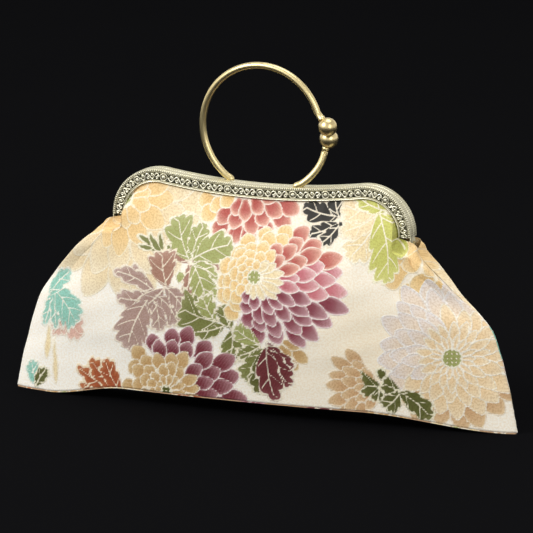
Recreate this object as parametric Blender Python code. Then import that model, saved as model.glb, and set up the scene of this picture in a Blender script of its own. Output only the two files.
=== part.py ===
"""Clasp frame purse: a brocade bag in a brass frame that two ring arcs with snap balls close.

Units in the named dimensions are millimetres; meshes are written in metres, +Z up, front at -Y.
The origin lies on the floor under the middle of the bag.
"""

import math

import bmesh
import bpy
import numpy as np
from mathutils import Vector

MM = 0.001
GAP = 0.3

# Metal frame
HUMP_RADIUS = 30.0
HUMP_X = 70.0
HUMP_Z = 119.5
SAG_RADIUS = 430.0
FRAME_END_Z = HUMP_Z - 0.5
BAND_HEIGHT = 8.4
INNER_WALL_HEIGHT = 7.6
HALF_DEPTH = 5.6
PARTING = 0.15
FACE_WALL = 0.7
CROWN_WALL = 0.8
FRAME_STATIONS = 84
ROUNDEL_PITCH = 21.6
ROUNDEL_RADIUS = 3.0
RELIEF_HEIGHT = 0.45

# Hinges
HINGE_Z = HUMP_Z - 5.5
EAR_RADIUS = 4.5
EAR_THICKNESS = 0.7
FRONT_EAR_X = HUMP_X + HUMP_RADIUS - 0.75
BACK_EAR_X = FRONT_EAR_X - 1.0
RIVET_RADIUS = 1.2
RIVET_HEAD_RADIUS = 2.4
RIVET_HEAD = 0.9
HOLE_CLEARANCE = 0.3

# Ring arcs and snap balls
ROD_RADIUS = 2.1
RING_RADIUS = 40.5
LONG_CENTRE_X = -0.7
RING_REACH = 1.0601
LONG_START_ANGLE = 20.0
FOOT_X = 22.9
FOOT_DEPTH = 2.87
FOOT_COLLAR_RADIUS = 2.55
FOOT_COLLAR = 1.5
FOOT_PIN_RADIUS = 1.0
FOOT_HEAD_RADIUS = 1.6
BALL_RADIUS = 5.85
BALL_DEPTH = 3.8
UPPER_BALL_STEP = (4.5, 5.35)
LOWER_BALL_STEP = (2.3, -3.75)
BALL_PIN_RADIUS = 1.3
BALL_PIN_DEPTH = 2.6
SHORT_TOP = (0.985, -0.306)
SHORT_MID_UPPER = (0.970, -0.528)
SHORT_MID_LOWER = (0.753, -0.765)

# Fabric
OUTER_THICKNESS = 0.8
LINING_THICKNESS = 0.5
CORNER_X = 169.0
EDGE_DEPTH = 0.9
BASE_HALF_DEPTH = 20.0
LENS_POWER = 0.75
BASE_ARCH = 8.6
ARCH_START = 0.52
ARCH_END = 0.86
TUCK_TOP = 2.6
TAIL_START = 0.94
LINING_LIP = 10.6
LINING_REACH = 0.9
FOLD_HEIGHT = 1.3
COLUMNS = 18
ROWS = 11
FLANK = 2
CORD_RADIUS = 0.75
CORD_OFFSET = 5.0
CORD_DEPTH = 1.95

BRASS = (0.62, 0.47, 0.2, 1.0)
DARK_BRASS = (0.4, 0.3, 0.12, 1.0)
IVORY = (0.86, 0.78, 0.66, 1.0)
RUSSET = (0.45, 0.24, 0.16, 1.0)
CREAM = (0.82, 0.76, 0.64, 1.0)
PAPER = (0.7, 0.6, 0.45, 1.0)


class Shape:
    """Named sizes of one layer of a front or back panel."""

    def __init__(self, corner, low, ridge, seam, depths, foot, hold, swell_power, lip, tail, reach):
        self.corner_x = corner
        self.low = low
        self.ridge_high, self.ridge_top = ridge
        self.seam_high, self.seam_top = seam
        self.base, self.body, self.frame, self.spread, self.top = depths
        self.foot = foot
        self.hold = hold
        self.swell_power = swell_power
        self.lip = lip
        self.tail = tail
        self.reach = reach


OUTER_SHAPE = Shape(
    corner=CORNER_X,
    low=(157.0, 62.0),
    ridge=((151.0, 80.0), (HUMP_X + HUMP_RADIUS + 1.5, HUMP_Z - 2.5)),
    seam=((149.0, 78.0), (HUMP_X + HUMP_RADIUS + 5.5, HUMP_Z - 8.0)),
    depths=(BASE_HALF_DEPTH, 25.0, 4.6, 10.5, 7.8),
    foot=1.1,
    hold=(HUMP_Z - 11.5, HUMP_Z - 6.5),
    swell_power=1.0,
    lip=9.2,
    tail=TAIL_START,
    reach=1.0,
)
LINING_SHAPE = Shape(
    corner=CORNER_X - 9.0,
    low=(150.0, 62.0),
    ridge=((95.0, 97.0), (HUMP_X + HUMP_RADIUS - LINING_LIP, FRAME_END_Z - 0.6)),
    seam=((95.0, 97.0), (HUMP_X + HUMP_RADIUS - LINING_LIP, FRAME_END_Z - 0.6)),
    depths=(BASE_HALF_DEPTH - 1.8, 18.0, 3.5, 1.2, 2.1),
    foot=2.6,
    hold=(HUMP_Z + 40.0, HUMP_Z + 41.0),
    swell_power=2.0,
    lip=LINING_LIP,
    tail=1.0,
    reach=LINING_REACH,
)


def clear_scene():
    """Remove whatever the empty file brings."""
    for obj in list(bpy.data.objects):
        bpy.data.objects.remove(obj, do_unlink=True)


def smoothstep(low, high, value):
    """Ease from 0 to 1 between two values."""
    t = min(1.0, max(0.0, (value - low) / (high - low)))
    return t * t * (3.0 - 2.0 * t)


def material(name, colour, metallic, roughness):
    """Make a plain Principled material."""
    mat = bpy.data.materials.new(name)
    mat.use_nodes = True
    shader = mat.node_tree.nodes["Principled BSDF"]
    shader.inputs["Base Color"].default_value = colour
    shader.inputs["Metallic"].default_value = metallic
    shader.inputs["Roughness"].default_value = roughness
    mat.diffuse_color = colour
    return mat


def add_mesh(name, verts, faces, mat):
    """Add one closed mesh given in millimetres, with its faces turned outward."""
    mesh = bpy.data.meshes.new(name)
    scaled = [(v[0] * MM, v[1] * MM, v[2] * MM) for v in verts]
    mesh.from_pydata(scaled, [], faces)
    work = bmesh.new()
    work.from_mesh(mesh)
    bmesh.ops.recalc_face_normals(work, faces=work.faces)
    big = [f for f in work.faces if len(f.verts) > 4]
    bmesh.ops.triangulate(work, faces=big, ngon_method="EAR_CLIP")
    work.to_mesh(mesh)
    work.free()
    obj = bpy.data.objects.new(name, mesh)
    bpy.context.scene.collection.objects.link(obj)
    mesh.materials.append(mat)
    return obj


def loft(name, rings, mat):
    """Join equal closed loops in a row and cap both ends."""
    count = len(rings[0])
    verts = [tuple(p) for ring in rings for p in ring]
    faces = []
    for i in range(len(rings) - 1):
        for j in range(count):
            a = i * count + j
            b = i * count + (j + 1) % count
            faces.append((a, b, b + count, a + count))
    faces.append(tuple(range(count)))
    last = (len(rings) - 1) * count
    faces.append(tuple(last + j for j in range(count)))
    return add_mesh(name, verts, faces, mat)


def boolean(target, cutter, operation):
    """Apply an exact boolean and remove the tool object."""
    cutter.hide_render = True
    cutter.display_type = "WIRE"
    mod = target.modifiers.new("step", "BOOLEAN")
    mod.operation = operation
    mod.solver = "EXACT"
    mod.object = cutter
    graph = bpy.context.evaluated_depsgraph_get()
    mesh = bpy.data.meshes.new_from_object(target.evaluated_get(graph))
    target.modifiers.clear()
    old = target.data
    target.data = mesh
    bpy.data.meshes.remove(old)
    bpy.data.objects.remove(cutter, do_unlink=True)


def cylinder_rings(start, end, radius, sides):
    """Give the two end loops of a cylinder."""
    axis = (Vector(end) - Vector(start)).normalized()
    helper = Vector((0, 0, 1)) if abs(axis.z) < 0.9 else Vector((1, 0, 0))
    side = axis.cross(helper).normalized()
    up = side.cross(axis)
    rings = []
    for centre in (start, end):
        ring = []
        for k in range(sides):
            angle = 2.0 * math.pi * k / sides
            ring.append(Vector(centre) + side * radius * math.cos(angle) + up * radius * math.sin(angle))
        rings.append(ring)
    return rings


def frame_line(count, end_z=FRAME_END_Z):
    """Sample the frame's outer curve evenly: x, z, inward normal x, z and length from the middle."""
    reach = SAG_RADIUS + HUMP_RADIUS
    sag_z = HUMP_Z + math.sqrt(reach ** 2 - HUMP_X ** 2)
    swing = math.asin(HUMP_X / reach)
    dense = []
    for k in range(61):
        a = swing * k / 60
        dense.append((SAG_RADIUS * math.sin(a), sag_z - SAG_RADIUS * math.cos(a), math.sin(a), -math.cos(a)))
    for k in range(1, 91):
        a = math.pi / 2 + swing - (math.pi / 2 + swing) * k / 90
        x = HUMP_X + HUMP_RADIUS * math.cos(a)
        z = HUMP_Z + HUMP_RADIUS * math.sin(a)
        dense.append((x, z, -math.cos(a), -math.sin(a)))
    if end_z < HUMP_Z:
        dense.append((HUMP_X + HUMP_RADIUS, end_z, -1.0, 0.0))
    half = np.array(dense)
    mirrored = half[:0:-1] * np.array([-1.0, 1.0, -1.0, 1.0])
    line = np.vstack([mirrored, half])
    steps = np.hypot(np.diff(line[:, 0]), np.diff(line[:, 1]))
    length = np.concatenate([[0.0], np.cumsum(steps)])
    wanted = np.linspace(0.0, length[-1], count)
    columns = [np.interp(wanted, length, line[:, k]) for k in range(4)]
    columns.append(wanted - length[-1] / 2.0)
    return np.array(columns).T


def relief(length, offset):
    """Height of the embossed band: bead and rim lines, roundels and a zigzag vine."""
    rim = 0.3 * math.exp(-(((offset - 7.5) / 0.5) ** 2))
    bead = 0.25 * math.exp(-(((offset - 0.9) / 0.4) ** 2))
    phase = (length / ROUNDEL_PITCH) - math.floor(length / ROUNDEL_PITCH + 0.5)
    along = phase * ROUNDEL_PITCH
    away = math.hypot(along, offset - 4.1)
    roundel = RELIEF_HEIGHT * (1.0 - smoothstep(ROUNDEL_RADIUS - 1.2, ROUNDEL_RADIUS + 0.3, away))
    wave = 4.1 + 1.9 * math.sin(2.0 * math.pi * 2.5 * along / ROUNDEL_PITCH)
    outside = smoothstep(ROUNDEL_RADIUS, ROUNDEL_RADIUS + 1.5, abs(along))
    vine = 0.8 * RELIEF_HEIGHT * outside * math.exp(-(((offset - wave) / 0.9) ** 2))
    return rim + bead + roundel + vine


def channel_profile(length):
    """Closed section of one half as (offset inward, depth from the parting plane)."""
    face = [0.9, 1.8, 2.7, 3.6, 4.5, 5.4, 6.4, 7.5]
    points = [(INNER_WALL_HEIGHT, PARTING), (0.5, PARTING), (0.0, 0.65), (0.0, HALF_DEPTH - 0.5)]
    points.append((0.4, HALF_DEPTH - 0.05))
    points += [(s, HALF_DEPTH + relief(length, s)) for s in face]
    points += [(BAND_HEIGHT, HALF_DEPTH - 0.1), (BAND_HEIGHT, HALF_DEPTH - FACE_WALL)]
    points += [(CROWN_WALL, HALF_DEPTH - FACE_WALL), (CROWN_WALL, PARTING + FACE_WALL)]
    points.append((INNER_WALL_HEIGHT, PARTING + FACE_WALL))
    return points


def ear(side, x_low, sign):
    """Flat hinge plate in the YZ plane; side is the half's sign in Y and sign the end's in X."""
    outline = []
    for k in range(19):
        a = math.radians(95.0 - 245.0 * k / 18)
        outline.append((-side * EAR_RADIUS * math.cos(a), HINGE_Z + EAR_RADIUS * math.sin(a)))
    outline.append((side * 5.2, HINGE_Z + 1.5))
    outline.append((side * 5.2, FRAME_END_Z + 2.5))
    outline.append((side * 0.4, FRAME_END_Z + 2.5))
    rings = []
    for x in (x_low, x_low + EAR_THICKNESS):
        rings.append([(sign * x, y, z) for y, z in outline])
    return rings


def frame_half(name, side, mat):
    """Build one embossed U channel with its two hinge ears."""
    rings = []
    for x, z, nx, nz, length in frame_line(FRAME_STATIONS):
        ring = [(x + s * nx, side * d, z + s * nz) for s, d in channel_profile(length)]
        rings.append(ring)
    body = loft(name, rings, mat)
    x_low = FRONT_EAR_X if side < 0 else BACK_EAR_X
    for sign in (-1, 1):
        boolean(body, loft("ear_tool", ear(side, x_low, sign), mat), "UNION")
        if side > 0:
            low, high = HUMP_Z + 0.2, HUMP_Z + 2.5
            near = [(sign * BACK_EAR_X, y, z) for y, z in ((1.2, low), (4.4, low), (4.4, high), (1.2, high))]
            far = [(p[0] + sign * 1.25, p[1], p[2]) for p in near]
            boolean(body, loft("block_tool", [near, far], mat), "UNION")
        hole = RIVET_RADIUS + HOLE_CLEARANCE
        ends = [(sign * (BACK_EAR_X + step), 0.0, HINGE_Z) for step in (-2.25, 4.75)]
        boolean(body, loft("hole_tool", cylinder_rings(ends[0], ends[1], hole, 16), mat), "DIFFERENCE")
    foot_x = -FOOT_X if side > 0 else FOOT_X
    pin = FOOT_PIN_RADIUS + HOLE_CLEARANCE
    y = side * FOOT_DEPTH
    ends = [(foot_x, y, crown_z(FOOT_X) + step) for step in (-2.75, 2.25)]
    boolean(body, loft("foot_tool", cylinder_rings(ends[0], ends[1], pin, 12), mat), "DIFFERENCE")
    return body


def lathe(name, profile, origin, axis, sides, mat):
    """Turn a closed (distance along axis, radius) profile that starts and ends on the axis."""
    axis = Vector(axis).normalized()
    helper = Vector((0, 0, 1)) if abs(axis.z) < 0.9 else Vector((1, 0, 0))
    side = axis.cross(helper).normalized()
    up = side.cross(axis)
    start = Vector(origin)
    verts = [start + axis * profile[0][0]]
    for along, radius in profile[1:-1]:
        for k in range(sides):
            a = 2.0 * math.pi * k / sides
            verts.append(start + axis * along + side * radius * math.cos(a) + up * radius * math.sin(a))
    verts.append(start + axis * profile[-1][0])
    faces = []
    inner = len(profile) - 2
    for k in range(sides):
        n = (k + 1) % sides
        faces.append((0, 1 + k, 1 + n))
        for i in range(inner - 1):
            a = 1 + i * sides
            faces.append((a + k, a + n, a + sides + n, a + sides + k))
        a = 1 + (inner - 1) * sides
        faces.append((a + k, a + n, len(verts) - 1))
    return add_mesh(name, verts, faces, mat)


def rivet(name, sign, mat):
    """Pin with a domed head on each end of the hinge."""
    low = BACK_EAR_X - GAP
    high = FRONT_EAR_X + EAR_THICKNESS + GAP
    profile = [(low - RIVET_HEAD, 0.0), (low - RIVET_HEAD, 1.3), (low - 0.35, RIVET_HEAD_RADIUS)]
    profile += [(low, RIVET_HEAD_RADIUS), (low, RIVET_RADIUS), (high, RIVET_RADIUS)]
    profile += [(high, RIVET_HEAD_RADIUS), (high + 0.35, RIVET_HEAD_RADIUS)]
    profile += [(high + RIVET_HEAD, 1.3), (high + RIVET_HEAD, 0.0)]
    return lathe(name, profile, (0.0, 0.0, HINGE_Z), (sign, 0, 0), 14, mat)


def bezier(p0, p1, p2, p3, t):
    """Point of a cubic curve, for tuples of any size."""
    m = 1.0 - t
    w = (m * m * m, 3.0 * m * m * t, 3.0 * m * t * t, t * t * t)
    return tuple(w[0] * a + w[1] * b + w[2] * c + w[3] * d for a, b, c, d in zip(p0, p1, p2, p3))


def crown_z(x):
    """Height of the frame's top over a point of its sagging middle."""
    reach = SAG_RADIUS + HUMP_RADIUS
    sag_z = HUMP_Z + math.sqrt(reach ** 2 - HUMP_X ** 2)
    return sag_z - math.sqrt(SAG_RADIUS ** 2 - x ** 2)


def ring_centre():
    """Centre of the long arc, at a height that lets the arc leave its foot on a tangent."""
    rise = math.sqrt((RING_REACH * RING_RADIUS) ** 2 - (FOOT_X + LONG_CENTRE_X) ** 2)
    return Vector((LONG_CENTRE_X, crown_z(FOOT_X) + GAP + rise))


def ball_centre(step, depth):
    """Centre of a snap ball beside the ring's right side."""
    centre = ring_centre()
    return (centre.x + RING_RADIUS + step[0], depth, centre.y + step[1])


def long_path():
    """Centre line of the long arc, from its foot on the back half to the upper ball."""
    foot = Vector((-FOOT_X, crown_z(FOOT_X) + GAP))
    centre = ring_centre()
    reach = foot - centre
    turn = math.acos(RING_RADIUS / reach.length)
    leave = math.atan2(reach.y, reach.x) + 2.0 * math.pi - turn
    flat = []
    for k in range(5):
        t = k / 5
        tangent = centre + Vector((math.cos(leave), math.sin(leave))) * RING_RADIUS
        flat.append(foot.lerp(tangent, t))
    stop = math.radians(LONG_START_ANGLE)
    for k in range(35):
        a = leave + (stop - leave) * k / 34
        flat.append(centre + Vector((math.cos(a), math.sin(a))) * RING_RADIUS)
    return lean(flat, FOOT_DEPTH, -BALL_DEPTH)


def short_path():
    """Centre line of the short arc, from its foot on the front half to the lower ball."""
    foot = (FOOT_X, crown_z(FOOT_X) + GAP)
    shares = (SHORT_MID_LOWER, SHORT_MID_UPPER, SHORT_TOP)
    low, high, top = [tuple(ring_centre() + RING_RADIUS * Vector(share)) for share in shares]
    flat = [Vector(bezier(foot, low, high, top, k / 13)) for k in range(14)]
    return lean(flat, -FOOT_DEPTH, BALL_DEPTH)


def lean(flat, y_start, y_end):
    """Give a flat path its depth, which changes evenly along it."""
    total = sum((b - a).length for a, b in zip(flat, flat[1:]))
    path = [Vector((flat[0].x, y_start, flat[0].y))]
    done = 0.0
    for a, b in zip(flat, flat[1:]):
        done += (b - a).length
        path.append(Vector((b.x, y_start + (y_end - y_start) * done / total, b.y)))
    return path


def tube(path, radii, sides, upright):
    """Loops of a round rod along a path, carried without twist; the first few lie level."""
    rings = []
    side = None
    for i, point in enumerate(path):
        ahead = path[min(i + 1, len(path) - 1)]
        behind = path[max(i - 1, 0)]
        along = (ahead - behind).normalized() if i >= upright else Vector((0, 0, 1))
        if side is None:
            side = along.cross(Vector((0, 1, 0))).normalized()
        side = (side - along * side.dot(along)).normalized()
        up = along.cross(side)
        ring = []
        for k in range(sides):
            a = 2.0 * math.pi * k / sides
            ring.append(point + (side * math.cos(a) + up * math.sin(a)) * radii[i])
        rings.append(ring)
    return rings


def ring_arc(name, path, ball, mat):
    """Rod with a riveted foot and a pin that enters its ball."""
    radii = [ROD_RADIUS] * len(path)
    foot = path[0]
    under = -(CROWN_WALL + 2.0 * GAP + 0.05)
    below = [(under - 0.5, FOOT_HEAD_RADIUS - 0.4), (under - 0.1, FOOT_HEAD_RADIUS)]
    below += [(under, FOOT_PIN_RADIUS), (-0.05, FOOT_PIN_RADIUS)]
    below += [(0.0, FOOT_COLLAR_RADIUS), (FOOT_COLLAR * 0.6, FOOT_COLLAR_RADIUS), (FOOT_COLLAR, ROD_RADIUS)]
    stem = [foot + Vector((0, 0, dz)) for dz, r in below]
    keep = [p for p in path if (p - foot).length > FOOT_COLLAR + 2.9]
    centre = Vector(ball)
    inward = (centre - keep[-1]).normalized()
    surface = centre - inward * (BALL_RADIUS + GAP)
    neck = centre - inward * (BALL_RADIUS - 0.4)
    tip = centre - inward * (BALL_RADIUS - BALL_PIN_DEPTH + GAP)
    tail = [surface - inward * 0.9, surface, surface + inward * 0.02, neck, tip]
    tail_radii = [ROD_RADIUS, ROD_RADIUS - 0.35, BALL_PIN_RADIUS - 0.3, BALL_PIN_RADIUS - 0.3, BALL_PIN_RADIUS - 0.4]
    whole = stem + keep + tail
    radii = [r for dz, r in below] + [ROD_RADIUS] * len(keep) + tail_radii
    return loft(name, tube(whole, radii, 10, len(stem)), mat), inward


def clasp_ball(name, centre, inward, mat):
    """Ball with a short socket that takes the rod's pin."""
    steps = 12
    hole = BALL_PIN_RADIUS
    floor = BALL_RADIUS - BALL_PIN_DEPTH
    profile = [(-floor, 0.0), (-floor, hole)]
    first = math.asin(hole / BALL_RADIUS)
    for k in range(steps + 1):
        a = first + (math.pi - first) * k / steps
        profile.append((-BALL_RADIUS * math.cos(a), BALL_RADIUS * math.sin(a)))
    profile[-1] = (BALL_RADIUS, 0.0)
    return lathe(name, profile, centre, inward, 18, mat)


def side_curve(shape, t, seam):
    """Ridge or seam line of the right side in X and Z, from the bottom corner up."""
    if seam:
        return bezier((shape.corner_x, shape.foot), shape.low, shape.seam_high, shape.seam_top, t)
    return bezier((shape.corner_x - 0.4, shape.foot), shape.low, shape.ridge_high, shape.ridge_top, t)


def ridge_depth(shape, t):
    """How far the ridge stands off the middle plane."""
    spread = shape.spread * smoothstep(0.52, 0.88, t)
    back = (EDGE_DEPTH + shape.spread - shape.top) * smoothstep(0.88, 1.0, t)
    return EDGE_DEPTH + spread - back


def lens(u):
    """Share of the base's half depth at a share of its half length."""
    return max(0.0, 1.0 - u * u) ** LENS_POWER


def arch(u):
    """Height of the base over the floor."""
    return BASE_ARCH * (1.0 - smoothstep(ARCH_START, ARCH_END, abs(u)))


def top_curve(shape, u, line, offset):
    """Point under the frame's lip in X and Z; past the channel's end it runs out to the ridge."""
    share = shape.reach * min(1.0, abs(u) / shape.tail)
    row = 0.5 * (share * math.copysign(1.0, u) + 1.0) * (len(line) - 1)
    low = int(min(len(line) - 2, math.floor(row)))
    mix = row - low
    x, z, nx, nz = [line[low][k] * (1.0 - mix) + line[low + 1][k] * mix for k in range(4)]
    point = (x + offset * nx, z + offset * nz)
    if abs(u) <= shape.tail:
        return point
    t = (abs(u) - shape.tail) / (1.0 - shape.tail)
    end = (math.copysign(shape.ridge_top[0], u), shape.ridge_top[1])
    return (point[0] + (end[0] - point[0]) * t, point[1] + (end[1] - point[1]) * t)


def body_depth(shape, u, v):
    """How far the panel stands off the middle plane."""
    centre = shape.base * (1.0 - v) + shape.frame * v
    centre += (shape.body - 0.5 * (shape.base + shape.frame)) * math.sin(math.pi * v) ** shape.swell_power
    near_frame = smoothstep(0.72, 1.0, v)
    inside = 1.0 - smoothstep(TAIL_START, 1.0, abs(u))
    share = lens(u) * (1.0 - near_frame) + inside * near_frame
    depth = ridge_depth(shape, v) * (1.0 - share) + centre * share
    return depth + folds(u, v) * (1.0 - near_frame ** 3)


def folds(u, v):
    """Soft folds that fan out from the ends of the frame."""
    total = 0.0
    for start, finish, width, height in ((0.5, 0.3, 0.06, 1.0), (0.7, 0.66, 0.06, 0.9)):
        line = start + (finish - start) * (1.0 - v)
        reach = smoothstep(0.25, 0.8, v)
        total += height * reach * math.exp(-(((abs(u) - line) / width) ** 2))
    return FOLD_HEIGHT * total


def main_point(shape, u, v, line):
    """Point of the front panel's surface between its two ridges (depth positive)."""
    corner = shape.corner_x - 0.4
    bottom = (u * corner, arch(u * corner / CORNER_X) + shape.foot)
    top = top_curve(shape, u, line, shape.lip)
    rx, rz = side_curve(shape, v, False)
    x = (1.0 - v) * bottom[0] + v * top[0]
    x += u * (rx - (1.0 - v) * corner - v * shape.ridge_top[0])
    z = (1.0 - v) * bottom[1] + v * top[1]
    z += rz - (1.0 - v) * shape.foot - v * shape.ridge_top[1]
    if v < 1.0 and abs(u) <= shape.tail:
        x = clear_of_frame(shape, x, z)
    return (x, body_depth(shape, u, v), z)


def clear_of_frame(shape, x, z):
    """Hold the cloth inside the frame's mouth until it is below the frame's ends."""
    wall = HUMP_X + HUMP_RADIUS - shape.lip
    if z > HUMP_Z:
        inner = HUMP_RADIUS - shape.lip
        wall = HUMP_X + math.sqrt(max(0.0, inner ** 2 - (z - HUMP_Z) ** 2))
    hold = smoothstep(shape.hold[0], shape.hold[1], z)
    over = abs(x) - wall
    if over <= 0.0 or z > HUMP_Z + HUMP_RADIUS - shape.lip:
        return x
    return math.copysign(wall + over * (1.0 - 0.98 * hold), x)


def panel_surface(shape, tuck):
    """Grid of a panel's outer surface, and which of its cells exist."""
    line = frame_line(121, FRAME_END_Z - 0.6)
    if shape.tail == 1.0:
        shape.ridge_top = shape.seam_top = top_curve(shape, 1.0, line, shape.lip)
    tail = [shape.tail + (1.0 - shape.tail) * k / 3 for k in (1, 2, 3)] if shape.tail < 1.0 else []
    middle = list(np.linspace(-shape.tail, shape.tail, COLUMNS + 1))
    span = [-u for u in reversed(tail)] + middle + tail
    heights = [k / (ROWS - 2) for k in range(ROWS - 2)] + [0.955, 0.98, 1.0]
    grid = []
    for v in heights:
        main = [main_point(shape, u, v, line) for u in span]
        sx, sz = side_curve(shape, v, True)
        right = flank_points(main[-1], (sx, PARTING, sz), ridge_depth(shape, v))
        left = [(-p[0], p[1], p[2]) for p in reversed(right)]
        grid.append(left + main + right)
    mask = np.ones((ROWS, len(grid[0]) - 1), dtype=bool)
    for offset in tuck:
        row = list(grid[ROWS])
        present = [False] * (len(grid[0]) - 1)
        for j, u in enumerate(span):
            if abs(u) <= shape.tail + 1e-6:
                x, z = top_curve(shape, math.copysign(min(abs(u), shape.tail), u), line, offset)
                row[FLANK + j] = (x, shape.frame, z)
                present[FLANK + j] = u < shape.tail - 1e-6
        grid.append(row)
        mask = np.vstack([mask, present])
    return np.array(grid), mask


def flank_points(ridge, seam, depth):
    """Columns from the ridge back to the side seam, bowed a little."""
    points = []
    for k in range(1, FLANK + 1):
        t = k / FLANK
        bow = 0.08 * depth * math.sin(math.pi * t)
        points.append(tuple(a + (b - a) * t for a, b in zip(ridge, seam)))
        points[-1] = (points[-1][0] + bow, points[-1][1], points[-1][2])
    return points


def grid_normals(grid):
    """Outward unit normals of a smooth depth-positive grid."""
    across = np.gradient(grid, axis=1)
    upward = np.gradient(grid, axis=0)
    normal = np.cross(upward, across)
    return normal / np.maximum(np.linalg.norm(normal, axis=2, keepdims=True), 1e-9)


def surface_normals(grid):
    """Outward normals of a panel, with its creased ridges shared between front and flank."""
    normal = np.zeros_like(grid)
    last = grid.shape[1] - FLANK - 1
    normal[:, FLANK:last + 1] += grid_normals(grid[:, FLANK:last + 1])
    normal[:, last:] += grid_normals(grid[:, last:])
    normal[:, :FLANK + 1] += grid_normals(grid[:, :FLANK + 1])
    return normal / np.maximum(np.linalg.norm(normal, axis=2, keepdims=True), 1e-9)


def inward(shape, grid, distance):
    """Move a panel's surface inward: straight back over its front, sideways on its flanks."""
    normal = surface_normals(grid)
    last = grid.shape[1] - 1
    turns = [1.0] + [1.0 - 0.45 * k / FLANK for k in range(1, FLANK)] + [0.5, 0.28, 0.12]
    moved = grid.copy()
    for i in range(len(grid)):
        share = 1.0 - smoothstep(0.35, 0.8, i / ROWS)
        for j in range(last + 1):
            if i >= ROWS and abs(grid[i][j][1] - shape.frame) < 1e-6:
                moved[i][j][1] -= distance
                continue
            step = min(j, last - j)
            sign = 1.0 if j > last / 2 else -1.0
            lean_out = math.atan2(sign * normal[i][j][0], max(0.05, normal[i][j][1]))
            angle = min(1.15, max(0.0, lean_out))
            if step < len(turns):
                angle = max(angle if step > FLANK else 0.0, 0.5 * math.pi * turns[step])
            way = np.array([-sign * math.sin(angle), -math.cos(angle), 0.0])
            facing = max(0.6, -float(np.dot(way, normal[i][j])))
            moved[i][j] = grid[i][j] + way * distance / facing
            if step <= FLANK:
                reach = distance * (1.2 + 1.2 * step / FLANK)
                flat = np.array([grid[i][j][0] - sign * reach, PARTING, grid[i][j][2]])
                moved[i][j] = moved[i][j] * (1.0 - share) + flat * share
    return moved


def sheet_solid(name, outside, inside, mask, side, mat):
    """Close two grids of the same shape into one sheet; side is the sign of Y."""
    rows, cols = outside.shape[:2]
    index = {}
    verts = []
    for layer, grid in enumerate((outside, inside)):
        for i in range(rows):
            for j in range(cols):
                touching = mask[max(0, i - 1):i + 1, max(0, j - 1):j + 1]
                if touching.any():
                    index[(layer, i, j)] = len(verts)
                    x, y, z = grid[i][j]
                    verts.append((x, side * max(y, PARTING), z))
    faces = []
    edges = {}
    for i in range(rows - 1):
        for j in range(cols - 1):
            if not mask[i][j]:
                continue
            loop = [(i, j), (i, j + 1), (i + 1, j + 1), (i + 1, j)]
            faces.append(tuple(index[(0, a, b)] for a, b in loop))
            faces.append(tuple(index[(1, a, b)] for a, b in reversed(loop)))
            for a, b in zip(loop, loop[1:] + loop[:1]):
                key = frozenset((a, b))
                edges[key] = None if key in edges else (a, b)
    for pair in edges.values():
        if pair:
            a, b = pair
            faces.append((index[(0,) + b], index[(0,) + a], index[(1,) + a], index[(1,) + b]))
    return add_mesh(name, verts, faces, mat)


def cloth_panel(name, shape, thickness, side, mat):
    """One layer of a panel with both its flanks, tucked into the frame."""
    grid, mask = panel_surface(shape, (7.6, TUCK_TOP))
    return sheet_solid(name, grid, inward(shape, grid, thickness), mask, side, mat)


def lining_panel(name, side, mat):
    """One side of the lining, from ridge to ridge, with its inner face straight behind the outer one."""
    grid, mask = panel_surface(LINING_SHAPE, (7.6, TUCK_TOP))
    mask[:, :FLANK] = False
    mask[:, mask.shape[1] - FLANK:] = False
    inside = grid - np.array([0.0, LINING_THICKNESS, 0.0])
    return sheet_solid(name, grid, inside, mask, side, mat)


def base_sheet(name, length, depth, low, thickness, mat):
    """Boat-shaped sheet that follows the base's arch."""
    columns = 22
    across = 3
    outside = np.zeros((across + 1, columns + 1, 3))
    for j in range(columns + 1):
        u = math.sin(0.5 * math.pi * (2.0 * j / columns - 1.0)) * 0.995
        half = EDGE_DEPTH + (BASE_HALF_DEPTH - EDGE_DEPTH) * lens(u * length / CORNER_X)
        half = max(0.35, half - depth)
        for i in range(across + 1):
            outside[i][j] = (u * length, half * (2.0 * i / across - 1.0), arch(u * length / CORNER_X) + low)
    above = outside + np.array([0.0, 0.0, thickness])
    rows, cols = outside.shape[:2]
    verts = [tuple(p) for grid in (outside, above) for row in grid for p in row]
    faces = []
    size = rows * cols
    for i in range(rows - 1):
        for j in range(cols - 1):
            a = i * cols + j
            faces.append((a, a + 1, a + cols + 1, a + cols))
            faces.append((size + a, size + a + cols, size + a + cols + 1, size + a + 1))
    border = [j for j in range(cols)] + [i * cols + cols - 1 for i in range(1, rows)]
    border += [(rows - 1) * cols + j for j in range(cols - 2, -1, -1)]
    border += [i * cols for i in range(rows - 2, 0, -1)]
    for a, b in zip(border, border[1:] + border[:1]):
        faces.append((a, size + a, size + b, b))
    return add_mesh(name, verts, faces, mat)


def paper_cord(name, side, mat):
    """Cord that wedges the cloth in one half's channel."""
    rings = []
    for x, z, nx, nz, length in frame_line(40, HUMP_Z + 0.5)[1:-1]:
        centre = Vector((x + CORD_OFFSET * nx, side * CORD_DEPTH, z + CORD_OFFSET * nz))
        ring = []
        for k in range(6):
            a = 2.0 * math.pi * k / 6
            reach = CORD_RADIUS * math.cos(a)
            ring.append(centre + Vector((reach * nx, CORD_RADIUS * math.sin(a), reach * nz)))
        rings.append(ring)
    return loft(name, rings, mat)


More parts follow.
